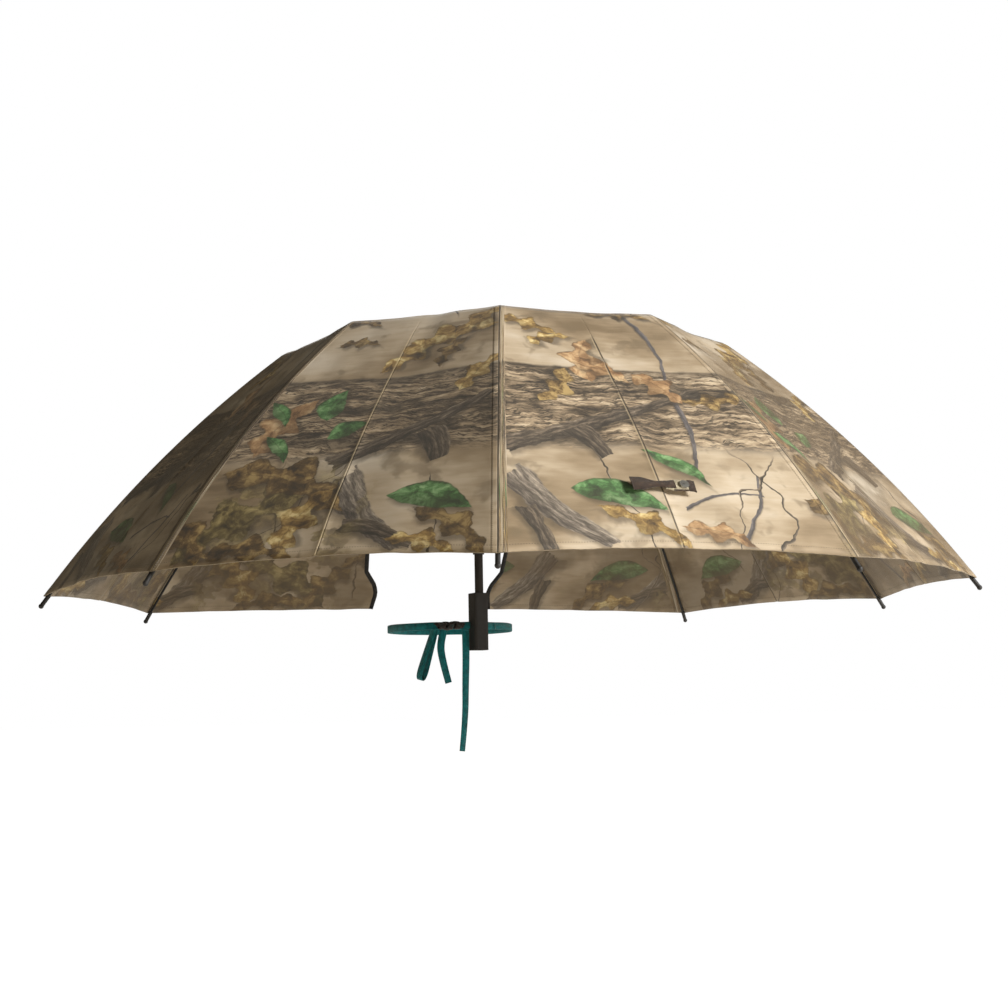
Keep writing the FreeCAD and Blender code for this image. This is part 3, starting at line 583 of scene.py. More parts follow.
DARK_BARK = ((0.36, (34, 29, 24)), (0.5, (66, 57, 48)), (0.62, (112, 98, 82)), (0.72, (150, 136, 118)))
GREY_BARK = ((0.34, (52, 46, 42)), (0.48, (92, 83, 74)), (0.60, (142, 130, 116)), (0.72, (186, 172, 152)))
VINE = ((0.30, (50, 47, 50)), (0.5, (78, 74, 76)), (0.7, (116, 110, 108)))
BROWN = ((0.34, (44, 33, 18)), (0.46, (88, 67, 36)), (0.54, (126, 100, 58)), (0.64, (172, 145, 92)))
GOLD = ((0.34, (66, 48, 22)), (0.46, (134, 104, 54)), (0.54, (176, 145, 84)), (0.64, (226, 204, 146)))
RUST = ((0.34, (98, 70, 44)), (0.46, (150, 114, 76)), (0.54, (178, 142, 100)), (0.64, (206, 176, 134)))
GREEN = ((0.34, (26, 52, 26)), (0.46, (52, 94, 46)), (0.54, (84, 132, 74)), (0.66, (140, 176, 122)))
OLIVE = ((0.34, (50, 42, 22)), (0.46, (90, 76, 42)), (0.54, (126, 110, 66)), (0.64, (170, 152, 102)))

BRANCHES = [
    # across, down, turn, half length, half width, bend, bark
    (0.195, 0.283, 24, 0.180, 0.013, -0.008, DARK_BARK),
    (0.738, 0.300, 33, 0.120, 0.013, -0.006, DARK_BARK),
    (0.164, 0.330, -62, 0.034, 0.020, 0.006, DARK_BARK),
    (0.780, 0.330, -62, 0.034, 0.020, 0.006, DARK_BARK),
    (0.082, 0.462, -50, 0.085, 0.021, -0.014, GREY_BARK),
    (0.060, 0.500, -80, 0.050, 0.012, 0.006, DARK_BARK),
    (0.712, 0.460, -50, 0.090, 0.021, -0.014, GREY_BARK),
    (0.745, 0.488, -22, 0.055, 0.012, 0.008, DARK_BARK),
    (0.312, 0.100, -86, 0.100, 0.0032, 0.018, VINE),
    (0.303, 0.290, -92, 0.100, 0.0044, 0.014, VINE),
    (0.305, 0.430, 14, 0.060, 0.0028, 0.012, VINE),
    (0.350, 0.455, 66, 0.070, 0.0028, -0.010, VINE),
]
LEAVES = [
    # across, down, turn, half length, half width, colours
    (0.688, 0.110, 44, 0.060, 0.026, GOLD),
    (0.728, 0.072, 24, 0.072, 0.032, GOLD),
    (0.765, 0.036, 52, 0.050, 0.026, GOLD),
    (0.742, 0.118, 70, 0.040, 0.020, BROWN),
    (0.144, 0.052, -30, 0.044, 0.022, GOLD),
    (0.160, 0.090, 22, 0.036, 0.018, GOLD),
    (0.598, 0.072, -8, 0.034, 0.017, BROWN),
    (0.800, 0.178, 58, 0.048, 0.024, GOLD),
    (0.540, 0.268, 64, 0.066, 0.036, RUST),
    (0.596, 0.385, -24, 0.108, 0.050, BROWN),
    (0.535, 0.452, 34, 0.096, 0.044, OLIVE),
    (0.625, 0.455, 66, 0.062, 0.036, GOLD),
    (0.475, 0.470, -48, 0.066, 0.030, BROWN),
    (0.575, 0.505, -8, 0.070, 0.024, BROWN),
    (0.842, 0.480, -38, 0.070, 0.025, BROWN),
    (0.805, 0.505, -14, 0.050, 0.020, GOLD),
    (0.198, 0.482, -34, 0.066, 0.022, GOLD),
    (0.287, 0.496, -22, 0.048, 0.020, RUST),
    (0.196, 0.140, 78, 0.058, 0.034, RUST),
    (0.220, 0.165, -30, 0.040, 0.022, RUST),
    (0.292, 0.205, -52, 0.044, 0.026, RUST),
]
GREEN_LEAVES = [
    (0.604, 0.230, 82, 0.034, 0.020),
    (0.642, 0.284, 34, 0.030, 0.016),
    (0.800, 0.428, -14, 0.060, 0.023),
    (0.174, 0.428, -18, 0.062, 0.024),
    (0.268, 0.372, -40, 0.052, 0.012),
    (0.536, 0.240, -58, 0.034, 0.010),
    (0.556, 0.315, -52, 0.036, 0.011),
]


def repeated(n, place):
    """The place within the print's repeat, and how far across it that is."""
    x, y = n.split(place)
    across = n.math("MODULO", n.less(x, PRINT_START), PRINT_WIDTH)
    return n.join(across, y), across


def print_colour(n, place):
    """The camouflage: misty ground, a bark band, branches, twigs and leaves laid over one another."""
    mist = n.noise(n.move(place, scale=(0.55, 1, 1)), 7.5, 4, 0.55)
    silk = n.noise(n.move(place, scale=(0.16, 1, 1)), 110, 3, 0.6)
    colour = n.colours(
        n.scaled(mist, 0.90, n.times(silk, 0.12)),
        (0.36, (118, 99, 72)),
        (0.46, (152, 132, 104)),
        (0.56, (186, 168, 142)),
        (0.68, (208, 195, 175)),
    )
    smudge = n.ramp(n.noise(n.warp(place, 18, 0.05), 15, 3, 0.6), 0.54, 0.66)
    colour = n.tint(colour, smudge, 0.6, (112, 96, 72))
    warped = n.warp(place, 24, 0.013)
    x, y = n.split(warped)
    print_place, across = repeated(n, warped)
    wander = n.noise(n.join(x, 0.0), 2.4, 2)
    level = n.scaled(wander, 0.05, n.scaled(y, -1.0, -0.025))
    foot = n.ramp(level, LOG_FOOT, LOG_FOOT - 0.03)
    log = n.times(n.ramp(level, LOG_TOP, LOG_TOP + 0.004), foot)
    colour = n.mix(log, colour, bark_colour(n, place))
    under_lip = n.ramp(level, LOG_TOP + 0.026, LOG_TOP)
    lip = n.times(n.ramp(level, LOG_TOP - 0.003, LOG_TOP + 0.002), under_lip)
    colour = n.tint(colour, lip, 0.6, (46, 38, 29))
    for *lay, bark in BRANCHES:
        colour = placed_branch(n, print_place, colour, lay, bark)
    outside = n.math("MAXIMUM", n.ramp(level, 0.03, 0.0), n.ramp(level, LOG_FOOT - 0.03, LOG_FOOT + 0.02))
    colour = branch_layer(n, warped, colour, (0.19, 0.0032, 1.35, 0.16), DARK_BARK, 0.21, 0.50, outside)
    colour = branch_layer(n, warped, colour, (0.21, 0.0024, -1.25, 0.20), DARK_BARK, 0.71, 0.50, outside)
    ragged = n.warp(n.warp(place, 26, 0.016), 90, 0.010)
    crumple = n.noise(n.warp(place, 24, 0.04), 44, 4, 0.62)
    looks = {palette: n.colours(crumple, *palette) for palette in (BROWN, OLIVE, GOLD, RUST, GREEN)}
    clump = n.ramp(n.noise(place, 4.5, 1), 0.46, 0.54)
    crown = n.times(clump, n.ramp(level, 0.02, -0.02))
    litter = n.ramp(n.noise(ragged, 14, 3, 0.6), 0.50, 0.53)
    litter = n.times(litter, n.ramp(level, LOG_FOOT - 0.02, LOG_FOOT + 0.03))
    leafy = n.ramp(n.size(n.less(across, LEAFY_MIDDLE)), 0.15, 0.11)
    colour = n.mix(n.times(n.times(litter, leafy), 0.6), colour, looks[OLIVE])
    colour = leaf_layer(n, ragged, colour, 0.130, (0.064, 0.030, 9.0, 0.32), OLIVE, 0.62, 1.37, crown)
    colour = leaf_layer(n, ragged, colour, 0.190, (0.050, 0.022, 9.0, 0.34), BROWN, 0.36, 2.71)
    ragged_place, _ = repeated(n, ragged)
    for *lay, palette in LEAVES:
        colour = placed_leaf(n, ragged_place, colour, lay, looks[palette])
    for lay in GREEN_LEAVES:
        colour = placed_leaf(n, print_place, colour, lay, looks[GREEN], (0.0, 0.0))
    return colour


def weave(n, place, pitch, distance, after=None):
    """Plain weave: two sets of threads, one over the other in turn."""
    x, y = n.split(place)
    a = n.waves(x, pitch)
    b = n.waves(y, pitch)
    return n.bump(n.times(a, b), distance, 0.6, after)


def stitches(n, colour, across, at, along):
    """A row of dark stitches, that far across from an edge."""
    line = n.ramp(n.size(n.less(across, at)), 0.0007, 0.0003)
    dots = n.ramp(n.waves(along, STITCH), -0.1, 0.3)
    return n.tint(colour, n.times(line, dots), 0.7, (46, 38, 30))


def seam_lines(n, colour, edge_x, lower):
    """The rib's seam with its stitching, painted shade in the seam's hollow and a painted highlight along
    the raised fold beside it, and how far the cloth is raised there.
    """
    side = n.size(edge_x)
    groove_and_painted_shade = n.ramp(side, 0.0016, 0.0004)
    # painted shade in the seam's hollow
    colour = n.tint(colour, groove_and_painted_shade, 0.85, (34, 28, 22))
    painted_fold_highlight = n.ramp(n.size(n.less(edge_x, 0.0042)), 0.0011, 0.0004)
    # painted highlight along the raised fold of the seam
    colour = n.tint(colour, painted_fold_highlight, 0.3, (206, 190, 156))
    colour = stitches(n, colour, side, 0.0068, lower)
    return colour, n.less(n.ramp(side, 0.009, 0.0065), groove_and_painted_shade)


def beyond(n, x, panel, side):
    """1 on the panels of the print past one of them: to its right for side 1, to its left for -1."""
    edge = panel + 0.5 * side
    return n.ramp(x, (edge - 0.1 * side) * PRINT_STEP, (edge + 0.1 * side) * PRINT_STEP)


def painted_crease_light(n, colour, place):
    """The sharp fold down the middle of each panel, drawn as painted light: a pale painted highlight on the
    first panels and a dark painted shade on the others.
    """
    x, y = n.split(place)
    middle = n.times(n.math("ROUND", n.over(x, PRINT_STEP)), PRINT_STEP)
    side = n.less(x, middle)
    lower = n.times(n.ramp(y, -0.05, -0.10), n.ramp(n.noise(place, 30, 1), 0.28, 0.40))
    # painted highlight along one side of the fold
    pale = n.times(n.ramp(n.size(n.plus(side, 0.0014)), 0.0018, 0.0004), lower)
    colour = n.tint(colour, pale, 0.45, (200, 180, 142))
    # painted shade in the fold, on the panels past the second
    dark = n.times(n.ramp(n.size(side), 0.0018, 0.0006), n.times(lower, beyond(n, x, 2, 1)))
    return n.tint(colour, dark, 0.85, (44, 34, 25))


def side_panels_painted_shade(n, colour, place):
    """Painted shade on the panels to the left and right of the front two: their print is mixed unevenly
    towards dark brown.
    """
    x, _ = n.split(place)
    right = n.times(beyond(n, x, 3, 1), 1.1)
    shade_patch = n.ramp(n.noise(n.warp(place, 12, 0.05), 7, 3, 0.6), 0.36, 0.56)
    share = n.times(n.math("MAXIMUM", beyond(n, x, 2, -1), right), n.scaled(shade_patch, 0.36, 0.20))
    # painted shade: the side panels darkened towards brown
    return n.mix(share, colour, linear((74, 55, 27)))


def canopy_material(name):
    """Printed polyester, with a node named muted that dulls and darkens the print: on the inside copy,
    partly the cloth's duller back and partly painted shade.
    """
    n = Nodes(name, 0.62)
    place = n.uv("print")
    edge_x, lower = n.split(n.uv("seam"))
    colour = print_colour(n, place)
    colour, raised = seam_lines(n, colour, edge_x, lower)
    colour = painted_crease_light(n, colour, place)
    colour = side_panels_painted_shade(n, colour, place)
    colour = stitches(n, colour, lower, HEM_FOLD, edge_x)
    # dulls and darkens the print; the inside copy turns it up, partly for the cloth's duller back and
    # partly as painted shade
    colour = n.mix(0.0, colour, linear((70, 62, 52)))
    colour.node.name = "muted_and_shaded"
    faded = n.noise(place, 3.0, 2)
    colour = n.tint(colour, faded, 0.12, (176, 162, 138))
    normal = weave(n, place, 0.0011, 0.00008)
    normal = n.bump(n.noise(n.move(place, scale=(1, 0.5, 1)), 26, 3), 0.0011, 0.35, normal)
    normal = n.bump(raised, 0.0007, 0.8, normal)
    rough = n.scaled(n.noise(place, 40, 2), 0.18, 0.56)
    n.shader.inputs["Sheen Weight"].default_value = 0.12
    n.shader.inputs["Sheen Roughness"].default_value = 0.5
    n.shader.inputs["Specular IOR Level"].default_value = 0.35
    return n.finish(colour, normal, rough)


def tape_material(name, dark, mid, pale, layer="tape"):
    """Woven tape: ribbed weave, firmer edges and slight fading."""
    n = Nodes(name, 0.85)
    place = n.uv(layer)
    x, y = n.split(place)
    worn = n.noise(place, 120, 4, 0.6)
    colour = n.colours(worn, (0.3, dark), (0.5, mid), (0.75, pale))
    chevrons = n.plus(n.size(x), y)
    ribs = n.waves(chevrons, TAPE_RIB)
    colour = n.tint(colour, n.ramp(ribs, 0.2, -0.9), 0.45, dark)
    edge = n.ramp(n.size(x), TAPE_WIDTH * 0.40, TAPE_WIDTH * 0.46)
    colour = n.tint(colour, edge, 0.35, dark)
    normal = n.bump(ribs, 0.00018, 0.8)
    n.shader.inputs["Sheen Weight"].default_value = 0.2
    n.shader.inputs["Specular IOR Level"].default_value = 0.25
    return n.finish(colour, normal)


def worn_material(name, dark, pale, grain, metallic=0.0, rough=0.45, depth=0.00015, streak=1.0):
    """Painted steel or moulded plastic: fine texture and faint mottling from dark to pale."""
    n = Nodes(name, rough)
    place = n.add("ShaderNodeTexCoord").outputs["Object"]
    fine = n.noise(n.move(place, scale=(1, 1, streak)), grain, 4, 0.6)
    broad = n.noise(place, grain / 12, 2)
    tone = n.scaled(fine, 0.5, n.times(broad, 0.5))
    colour = n.colours(tone, (0.35, dark), (0.68, pale))
    normal = n.bump(fine, depth, 0.5)
    n.shader.inputs["Metallic"].default_value = metallic
    rougher = n.scaled(broad, 0.25, rough - 0.12)
    return n.finish(colour, normal, rougher)


# ------------ camera

bpy.context.scene.view_settings.view_transform = "Standard"
ahead = Vector((0.3039, 0.9445, 0.125)).normalized()
upward = Vector((-0.0206, -0.1247, 0.992))
sideways = ahead.cross(upward).normalized()
upward = sideways.cross(ahead)
camera = bpy.data.objects.new("camera", bpy.data.cameras.new("camera"))
bpy.context.scene.collection.objects.link(camera)
bpy.context.scene.camera = camera
camera.data.lens = 56.25
facing = Matrix((sideways, upward, -ahead)).transposed().to_4x4()
camera.matrix_world = Matrix.Translation((-0.7694, -2.7211, -0.1327)) @ facing

# ------------ the finishes

print_outside = canopy_material("camo_outside")
print_inside = print_outside.copy()
print_inside.name = "camo_inside"
# the inside: print dulled and darkened, partly the cloth's back and partly painted shade
print_inside.node_tree.nodes["muted_and_shaded"].inputs[0].default_value = 0.26
hem_edge = tape_material("hem_edge", (104, 90, 68), (138, 121, 94), (170, 152, 122))
binding_black = tape_material("binding_black", (12, 11, 10), (24, 22, 20), (40, 37, 34))
closure_brown = tape_material("closure_brown", (40, 29, 21), (62, 46, 34), (92, 72, 54))
closure_pale = tape_material("closure_pale", (150, 138, 112), (190, 178, 150), (220, 210, 186))
teal = tape_material("strap_teal", (0, 80, 86), (0, 110, 115), (14, 136, 138))
# teal tape darkened to brown: painted shade on the strap's knot
teal_painted_shade = tape_material("strap_painted_shade", (34, 27, 24), (52, 42, 38), (40, 74, 74))
enamel = worn_material("enamelled_wire", (9, 9, 9), (26, 25, 24), 900, 0.35, 0.42)
tube_paint = worn_material("tube_paint", (22, 18, 16), (46, 39, 34), 700, 0.25, 0.5)
moulding = worn_material("moulding", (17, 15, 14), (38, 35, 32), 1400, 0.0, 0.6, 0.0003)
snap_plate = worn_material("snap_plate", (168, 167, 162), (226, 226, 222), 1100, 0.9, 0.3)

# ------------ strap, loop and tails

TRUNK = 0.110
TAPE_REACH = TRUNK + TAPE_THICK
POST_BEARING = math.radians(8)
KNOT_BEARING = math.radians(-16)
LONG_TAIL_BEARING = math.radians(-2.2)
KNOT_HALF = (0.027, 0.0055, 0.0075)
KNOT_CLEAR = 0.0059
UNDER_KNOT = -0.0079
LOOP_TURN, LOOP_LEAN = math.radians(-40), math.radians(16)
SLOT_SIDE, SLOT_BACK = 0.014, 0.1138  # corners of the grip's slot, off the trunk's axis
WRAP_THICK = 0.0012


def on_strap(bearing, clear, shift):
    """Frame on the strap's outside: X along it to the right, -Y away from the trunk."""
    turn = Matrix.Rotation(bearing, 4, "Z")
    return turn @ Matrix.Translation((0, -TAPE_REACH - clear, 0)) @ Matrix.Translation(shift)


def twisted_flats(path, first, turn):
    """Flat directions along a path, starting at first and turning steadily about it by turn radians."""
    last = len(path) - 1
    return [Matrix.Rotation(turn * i / last, 3, heading(path, i)) @ first for i in range(last + 1)]


def hanging_tape(name, points, place, turn):
    route = [place @ Vector(point) for point in points]
    path = nurbs_path(route)
    out = place.to_3x3() @ Vector((0, -1, 0))
    piece = ribbon(name + "_tape", path, twisted_flats(path, out, turn), TAPE_WIDTH, TAPE_THICK, [teal])
    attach(piece, "mast")
    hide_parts(name)
    return piece


hanging_tape(
    "short_tail",
    [(0, 0, 0), (-0.007, 0, -0.022), (-0.003, 0, -0.052), (0.007, 0, -0.090)],
    on_strap(KNOT_BEARING, 0.004, (-0.010, 0, UNDER_KNOT)),
    0.5,
)
loop_place = on_strap(KNOT_BEARING, 0.009, (-0.024, 0, UNDER_KNOT))
loop_place = loop_place @ Matrix.Rotation(LOOP_LEAN, 4, "Y") @ Matrix.Rotation(LOOP_TURN, 4, "Z")
hanging_tape(
    "strap_loop",
    [
        (0, 0, 0),
        (0, 0.002, -0.040),
        (0, 0.004, -0.088),
        (0, -0.012, -0.088),
        (0, -0.009, -0.042),
        (0, -0.005, 0),
    ],
    loop_place,
    0.0,
)
hanging_tape(
    "long_tail",
    [(0, 0, 0), (0.0005, 0, -0.040), (-0.0015, 0, -0.095), (-0.0025, 0, -0.150), (-0.009, 0, -0.206)],
    on_strap(LONG_TAIL_BEARING, 0.003, (0, 0, UNDER_KNOT)),
    -0.5,
)


def strap_path():
    """Closed line of the tape: round the trunk, and straight to the slot in the grip."""
    radius = TRUNK + TAPE_THICK / 2
    corner = Vector((SLOT_SIDE, -SLOT_BACK + TAPE_THICK / 2))
    lean = math.atan2(corner.x, -corner.y)
    touch = lean + math.acos(radius / corner.length)
    steps = 120
    round_trunk = [touch + (2 * math.pi - 2 * touch) * i / steps for i in range(steps + 1)]
    line = [Vector((radius * math.sin(a), -radius * math.cos(a), 0)) for a in round_trunk]
    first, last = line[0].copy(), line[-1].copy()
    left, right = Vector((-corner.x, corner.y, 0)), Vector((corner.x, corner.y, 0))
    line += [last.lerp(left, s / 6) for s in range(1, 7)]
    line += [left.lerp(right, s / 4) for s in range(1, 5)]
    line += [right.lerp(first, s / 6) for s in range(1, 7)]
    turn = Matrix.Rotation(POST_BEARING, 3, "Z")
    for point in line:
        point.z = 0.0009 * ripple(point.x, point.y, 0.05, 4.4)
    return [turn @ point for point in line]


band_line = strap_path()
band_flats = [Vector((p.x, p.y, 0)).normalized() for p in band_line]
band = ribbon("tree_band", band_line, band_flats, TAPE_WIDTH, TAPE_THICK, [teal])
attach(band, "mast")
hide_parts("tree_strap")


def knot_spot(share, turn, swell):
    """Place in the knot: share along it from -1 to 1, turn round it, and swell out to its surface."""
    taper = math.sqrt(max(0.0, 1 - (0.9 * share) ** 2)) * swell
    y = -math.cos(turn) * KNOT_HALF[1] * taper
    return Vector((share * KNOT_HALF[0] * 0.88, y, math.sin(turn) * KNOT_HALF[2] * taper))


def knot_wrap(name, turns, begin, swell, width):
    """Tape wound round the strap's knot, laid at a slant."""
    steps = 90
    place = on_strap(KNOT_BEARING, KNOT_CLEAR, (0, 0, 0))
    line, flats = [], []
    for i in range(steps + 1):
        share = i / steps
        spot = knot_spot(2 * share - 1, begin + 2 * math.pi * turns * share, swell)
        line.append(place @ spot)
        flats.append((place.to_3x3() @ Vector((0, spot.y, spot.z + 1e-6))).normalized())
    # the knot's wraps are darkened as painted shade
    piece = ribbon(name, line, flats, width, WRAP_THICK, [teal_painted_shade], 0.0003)
    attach(piece, "mast")
    return piece


knot = knot_wrap("knot_wraps", turns=3.5, begin=0.3, swell=0.86, width=0.0095)
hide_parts("strap_knot")
knot_wrap("knot_cross", turns=-1.5, begin=2.2, swell=0.98, width=0.0075)
knot_wrap("knot_core", turns=0.5, begin=1.0, swell=0.55, width=0.0110)

# ------------ canopy

ROWS = 54
HALF_COLUMNS = 26
SKIRT_ROWS = [SKIRT * i / ROWS for i in range(ROWS + 1)]


def surface_normal(panel, across, distance):
    step_across, step_down = 0.01, 0.003
    a, _ = cloth_point(panel, max(-1, across - step_across), distance)
    b, _ = cloth_point(panel, min(1, across + step_across), distance)
    c, _ = cloth_point(panel, across, distance - step_down)
    d, _ = cloth_point(panel, across, distance + step_down)
    return (d - c).cross(b - a).normalized()


def half_stations(panel, side, distance):
    """Across positions from the rib to the panel's middle or the bay's edge; side is -1 left, 1 right."""
    inner = reach_across(panel, distance)
    stations = []
    for j in range(HALF_COLUMNS + 1):
        share = (1 - j / HALF_COLUMNS) ** 1.45
        stations.append(side * (inner + (1 - inner) * share))
    return stations


def cloth_piece(name, rib, distances):
    """Outer and inner faces of the cloth from mid-panel to mid-panel over one rib, with its hem."""
    left_panel, right_panel = (rib - 1) % RIBS, rib
    rows = []
    for distance in distances:
        left = [(left_panel, a) for a in half_stations(left_panel, 1, distance)]
        right = [(right_panel, a) for a in half_stations(right_panel, -1, distance)]
        rows.append([(panel, a, distance) for panel, a in left[::-1] + right[1:]])
    columns = len(rows[0])
    outer, inner, print_uv, seam_uv = [], [], [], []
    for row in rows:
        for column, (panel, a, distance) in enumerate(row):
            point, u = cloth_point(panel, a, distance)
            normal = surface_normal(panel, a, distance)
            fold = min(1.0, max(0.0, (distance - (SKIRT - HEM_FOLD)) / 0.0008))
            thick = CLOTH_THICK * (1 + 0.9 * fold)
            outer.append(point + normal * thick / 2)
            inner.append(point - normal * thick / 2)
            to_rib = (1 - abs(a)) * abs(u / a) if abs(a) > 1e-6 else rib_gap(panel, distance)
            print_uv.append((u + panel * PRINT_STEP, -distance))
            seam_uv.append((-to_rib if column < HALF_COLUMNS else to_rib, SKIRT - distance))
    count = len(outer)
    grid = grid_faces(len(rows), columns)
    faces = [face[::-1] for face in grid]
    faces += [tuple(i + count for i in face) for face in grid]
    kinds = [0] * len(grid) + [1] * len(grid)
    last = (len(rows) - 1) * columns
    for c in range(columns - 1):
        faces.append((last + c, last + c + count, last + c + 1 + count, last + c + 1))
        kinds.append(2)
        faces.append((c + 1, c + 1 + count, c + count, c))
        kinds.append(1)
    for r in range(len(rows) - 1):
        a, b = r * columns, (r + 1) * columns
        faces.append((a, a + count, b + count, b))
        a, b = a + columns - 1, b + columns - 1
        faces.append((b, b + count, a + count, a))
        kinds += [1, 1]
    piece = make_object(name, outer + inner, faces, [print_outside, print_inside, hem_edge])
    for polygon, kind in zip(piece.data.polygons, kinds):
        polygon.material_index = kind
    for layer, places in (("print", print_uv), ("seam", seam_uv)):
        uv = piece.data.uv_layers.new(name=layer)
        for loop in piece.data.loops:
            uv.data[loop.index].uv = places[loop.vertex_index % count]
    tape = piece.data.uv_layers.new(name="tape")
    for loop in piece.data.loops:
        place = print_uv[loop.vertex_index % count]
        tape.data[loop.index].uv = (0.0, place[0])
    return piece


def rib_gap(panel, distance):
    """Half width of a whole panel, rib to middle, that far along the rib."""
    left, right = panel_bearings(panel)
    return meridian(distance, RIB_EASE).x * math.sin((right - left) / 2)


def even_rows(first, last, step):
    """Evenly spaced distances from first to last, about a step apart."""
    count = max(2, round((last - first) / step))
    return [first + (last - first) * i / count for i in range(count + 1)]


def gather(piece):
    """Gives the piece a mesh of its own."""
    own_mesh(piece)


def bay_start():
    """Distance from the elbow at which the bay's round end meets the crown panel."""
    radius = (-BAY_RADIUS - AXIS_Y) / math.cos(HALF_BAY)
    return -(ELBOW[0] - radius) / math.cos(math.atan2(CROWN_EDGE.y - KINK.y, KINK.x - CROWN_EDGE.x))


def bay_binding(name, rib, distances, body):
    """Black tape folded over the bay's edge."""
    side = 1 if rib == 0 else -1
    lay = 0.0030
    path, flats = [], []
    for distance in distances:
        reach = reach_across(BAY, distance)
        edge = side * reach
        gap = rib_gap(BAY, distance)
        point, _ = cloth_point(BAY, side * min(0.995, abs(edge) + lay / gap), distance)
        path.append(point)
        flats.append(surface_normal(BAY, edge, distance))
    piece = ribbon(name, path, flats, BINDING_WIDTH, BINDING_THICK, [binding_black], 0.0002)
    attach(piece, body)
    return piece


BAY_START = bay_start()


def round_end_rows(count):
    """Distances from the bay's start to the elbow, close together at the bay's round end."""
    return [BAY_START * math.cos(math.pi / 2 * i / count) for i in range(1, count + 1)]


def canopy_part(name, rib, rows, body, edge):
    """The cloth on one rib, that deep, attached to a part; the width at its edge is worked out but not
    used.
    """
    piece = cloth_piece(name, rib, rows)
    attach(piece, body)
    gather(piece)
    width = rib_gap((rib - 1) % RIBS, edge) + rib_gap(rib, edge)
    return piece


gore_rows = even_rows(-TOP, BAY_START, 0.011) + round_end_rows(14)
for rib in range(RIBS):
    n = rib + 1
    skirt = canopy_part(f"skirt_{n}", rib, SKIRT_ROWS, f"rib_{n}", SKIRT)
    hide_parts(f"canopy_skirt_{n}")
    gore = canopy_part(f"crown_gore_{n}", rib, gore_rows, f"arm_{n}", 0)
    if rib == 0:
        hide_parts("canopy_top")

for rib in (0, RIBS - 1):
    n = rib + 1
    skirt_edge = bay_binding(f"bay_binding_{n}", rib, SKIRT_ROWS, f"rib_{n}")
    gather(skirt_edge)
    top_edge = bay_binding(f"bay_binding_top_{n}", rib, round_end_rows(16), f"arm_{n}")
    gather(top_edge)

# ------------ closure strap

low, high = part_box("closure_strap")
closure_slope = math.atan2(high.z - low.z, high.y - low.y)
closure_middle = (low + high) / 2
closure_up = Vector((0, math.cos(closure_slope), math.sin(closure_slope)))
closure_out = Vector((0, -math.sin(closure_slope), math.cos(closure_slope)))
closure_half = (high.x - low.x) / 2


def closure_band(name, spots, thick, material, bow=0.0):
    """Part of the closure: spots are (across, up the slope, off the cloth, width), joined smoothly."""
    steps = 12
    line, widths = [], []
    for first, second in zip(spots, spots[1:]):
        for i in range(steps):
            share = i / steps
            eased = share * share * (3 - 2 * share)
            x, up, out, width = (a + (b - a) * eased for a, b in zip(first, second))
            x = first[0] + (second[0] - first[0]) * share
            line.append(closure_middle + Vector((x, 0, 0)) + closure_up * up + closure_out * out)
            widths.append(width)
    piece = ribbon(name, line, closure_out, widths, thick, [material], bow)
    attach(piece, "rib_5")
    gather(piece)
    return piece


end = closure_half - 0.001
flared = [
    (-end, 0.001, 0.0008, 0.023),
    (-end + 0.010, 0.001, 0.0012, 0.022),
    (-0.008, 0.0, 0.0018, 0.010),
    (0.004, 0.0005, 0.0014, 0.012),
    (0.016, 0.001, 0.0010, 0.014),
]
flap = closure_band("closure_flap", flared, 0.0016, closure_brown, 0.0008)
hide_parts("closure_strap")
strip = [
    (0.002, 0.0, -0.0006, 0.013),
    (0.012, 0.0, 0.0, 0.019),
    (0.036, 0.0, 0.0, 0.019),
    (end, -0.002, -0.0004, 0.017),
]
closure_band("closure_end", strip, 0.0012, closure_pale)
edging = [(x, up - 0.0085, out + 0.0003, 0.0028) for x, up, out, _ in strip[1:]]
closure_band("closure_edge", edging, 0.0013, closure_brown)
tuck = [(end - 0.009, -0.001, 0.0008, 0.020), (end, -0.002, 0.0008, 0.019)]
closure_band("closure_tuck", tuck, 0.0014, closure_brown)

# ------------ the frame's finishes


def cover(obj, material):
    """One material over the whole object."""
    obj.data.materials.clear()
    obj.data.materials.append(material)
    for polygon in obj.data.polygons:
        polygon.material_index = 0


def finish_nodes(material, *starts):
    for name, obj in frame["nodes"].items():
        if name.startswith(starts):
            cover(obj, material)


finish_nodes(enamel, "outer_rib", "inner_arm", "stretcher", "crown_ring")
finish_nodes(tube_paint, "shaft", "post", "offset_arm")
finish_nodes(moulding, "grip", "crown_hub", "runner", "rib_tip", "top_cap", "post_socket", "shaft_socket")

# the press stud folds away with its cloth, so a mesh of the same shape stands for the rigid one
rigid_stud = frame["nodes"]["snap_button"]
stud = bpy.data.objects.new("press_stud", rigid_stud.data.copy())
stud.matrix_world = rigid_stud.matrix_world.copy()
bpy.context.scene.collection.objects.link(stud)
cover(stud, snap_plate)
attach(stud, "rib_5")
gather(stud)
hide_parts("snap_button")

# ------------ floor, light and world

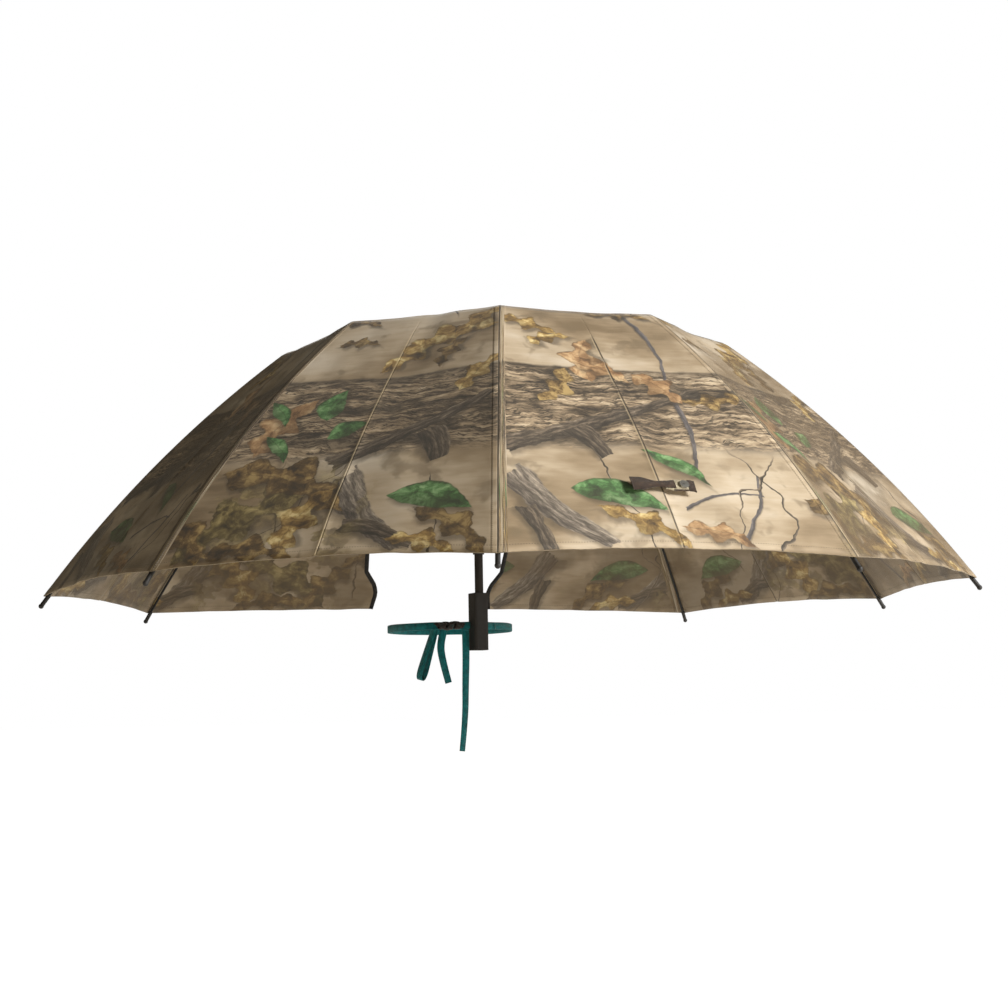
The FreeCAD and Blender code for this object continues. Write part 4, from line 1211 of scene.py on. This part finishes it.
FLOOR = -0.50
FLOOR_GLOW, FLOOR_SEEN = (0.32, 0.28, 0.21), (0.97, 0.97, 0.97)
SKY_GLOW, SKY_SEEN = (0.12, 0.105, 0.078), (1, 1, 1)


def stage_plane(name, size, height, material):
    half = size / 2
    corners = [(-half, -half, height), (half, -half, height), (half, half, height), (-half, half, height)]
    piece = make_object(name, corners, [(0, 1, 2, 3)], [material], False)
    piece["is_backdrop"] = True
    return piece


def lit_as_seen(tree, socket, glow, seen):
    """The colour that a surface sheds, and the colour it looks, so that the stage stays white."""
    chosen = tree.nodes.new("ShaderNodeMix")
    chosen.data_type = "RGBA"
    chosen.inputs[6].default_value = (*glow, 1)
    chosen.inputs[7].default_value = (*seen, 1)
    tree.links.new(tree.nodes.new("ShaderNodeLightPath").outputs["Is Camera Ray"], chosen.inputs[0])
    tree.links.new(chosen.outputs[2], socket)


pale_floor = worn_material("pale_floor", (233, 233, 232), (240, 240, 239), 3, 0.0, 0.8)
floor_shader = pale_floor.node_tree.nodes["Principled BSDF"]
floor_shader.inputs["Emission Strength"].default_value = 1.0
lit_as_seen(pale_floor.node_tree, floor_shader.inputs["Emission Color"], FLOOR_GLOW, FLOOR_SEEN)
stage_plane("floor", 60, FLOOR, pale_floor)

world = bpy.data.worlds.new("studio")
bpy.context.scene.world = world
world.use_nodes = True
sky = world.node_tree.nodes["Background"]
lit_as_seen(world.node_tree, sky.inputs["Color"], SKY_GLOW, SKY_SEEN)


def soft_light(name, place, target, size, watts, colour=(1, 1, 1)):
    lamp = bpy.data.lights.new(name, "AREA")
    lamp.shape = "DISK"
    lamp.size = size
    lamp.energy = watts
    lamp.color = colour
    obj = bpy.data.objects.new(name, lamp)
    bpy.context.scene.collection.objects.link(obj)
    obj.location = place
    obj.rotation_euler = (Vector(target) - Vector(place)).to_track_quat("-Z", "Y").to_euler()


soft_light("key", (2.95, -3.55, 1.65), (0, -0.35, 0.2), size=1.4, watts=330, colour=(1.0, 0.99, 0.97))
soft_light("back", (1.2, 3.6, 1.9), (0, -0.1, 0.2), size=2.0, watts=60)

low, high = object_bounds()
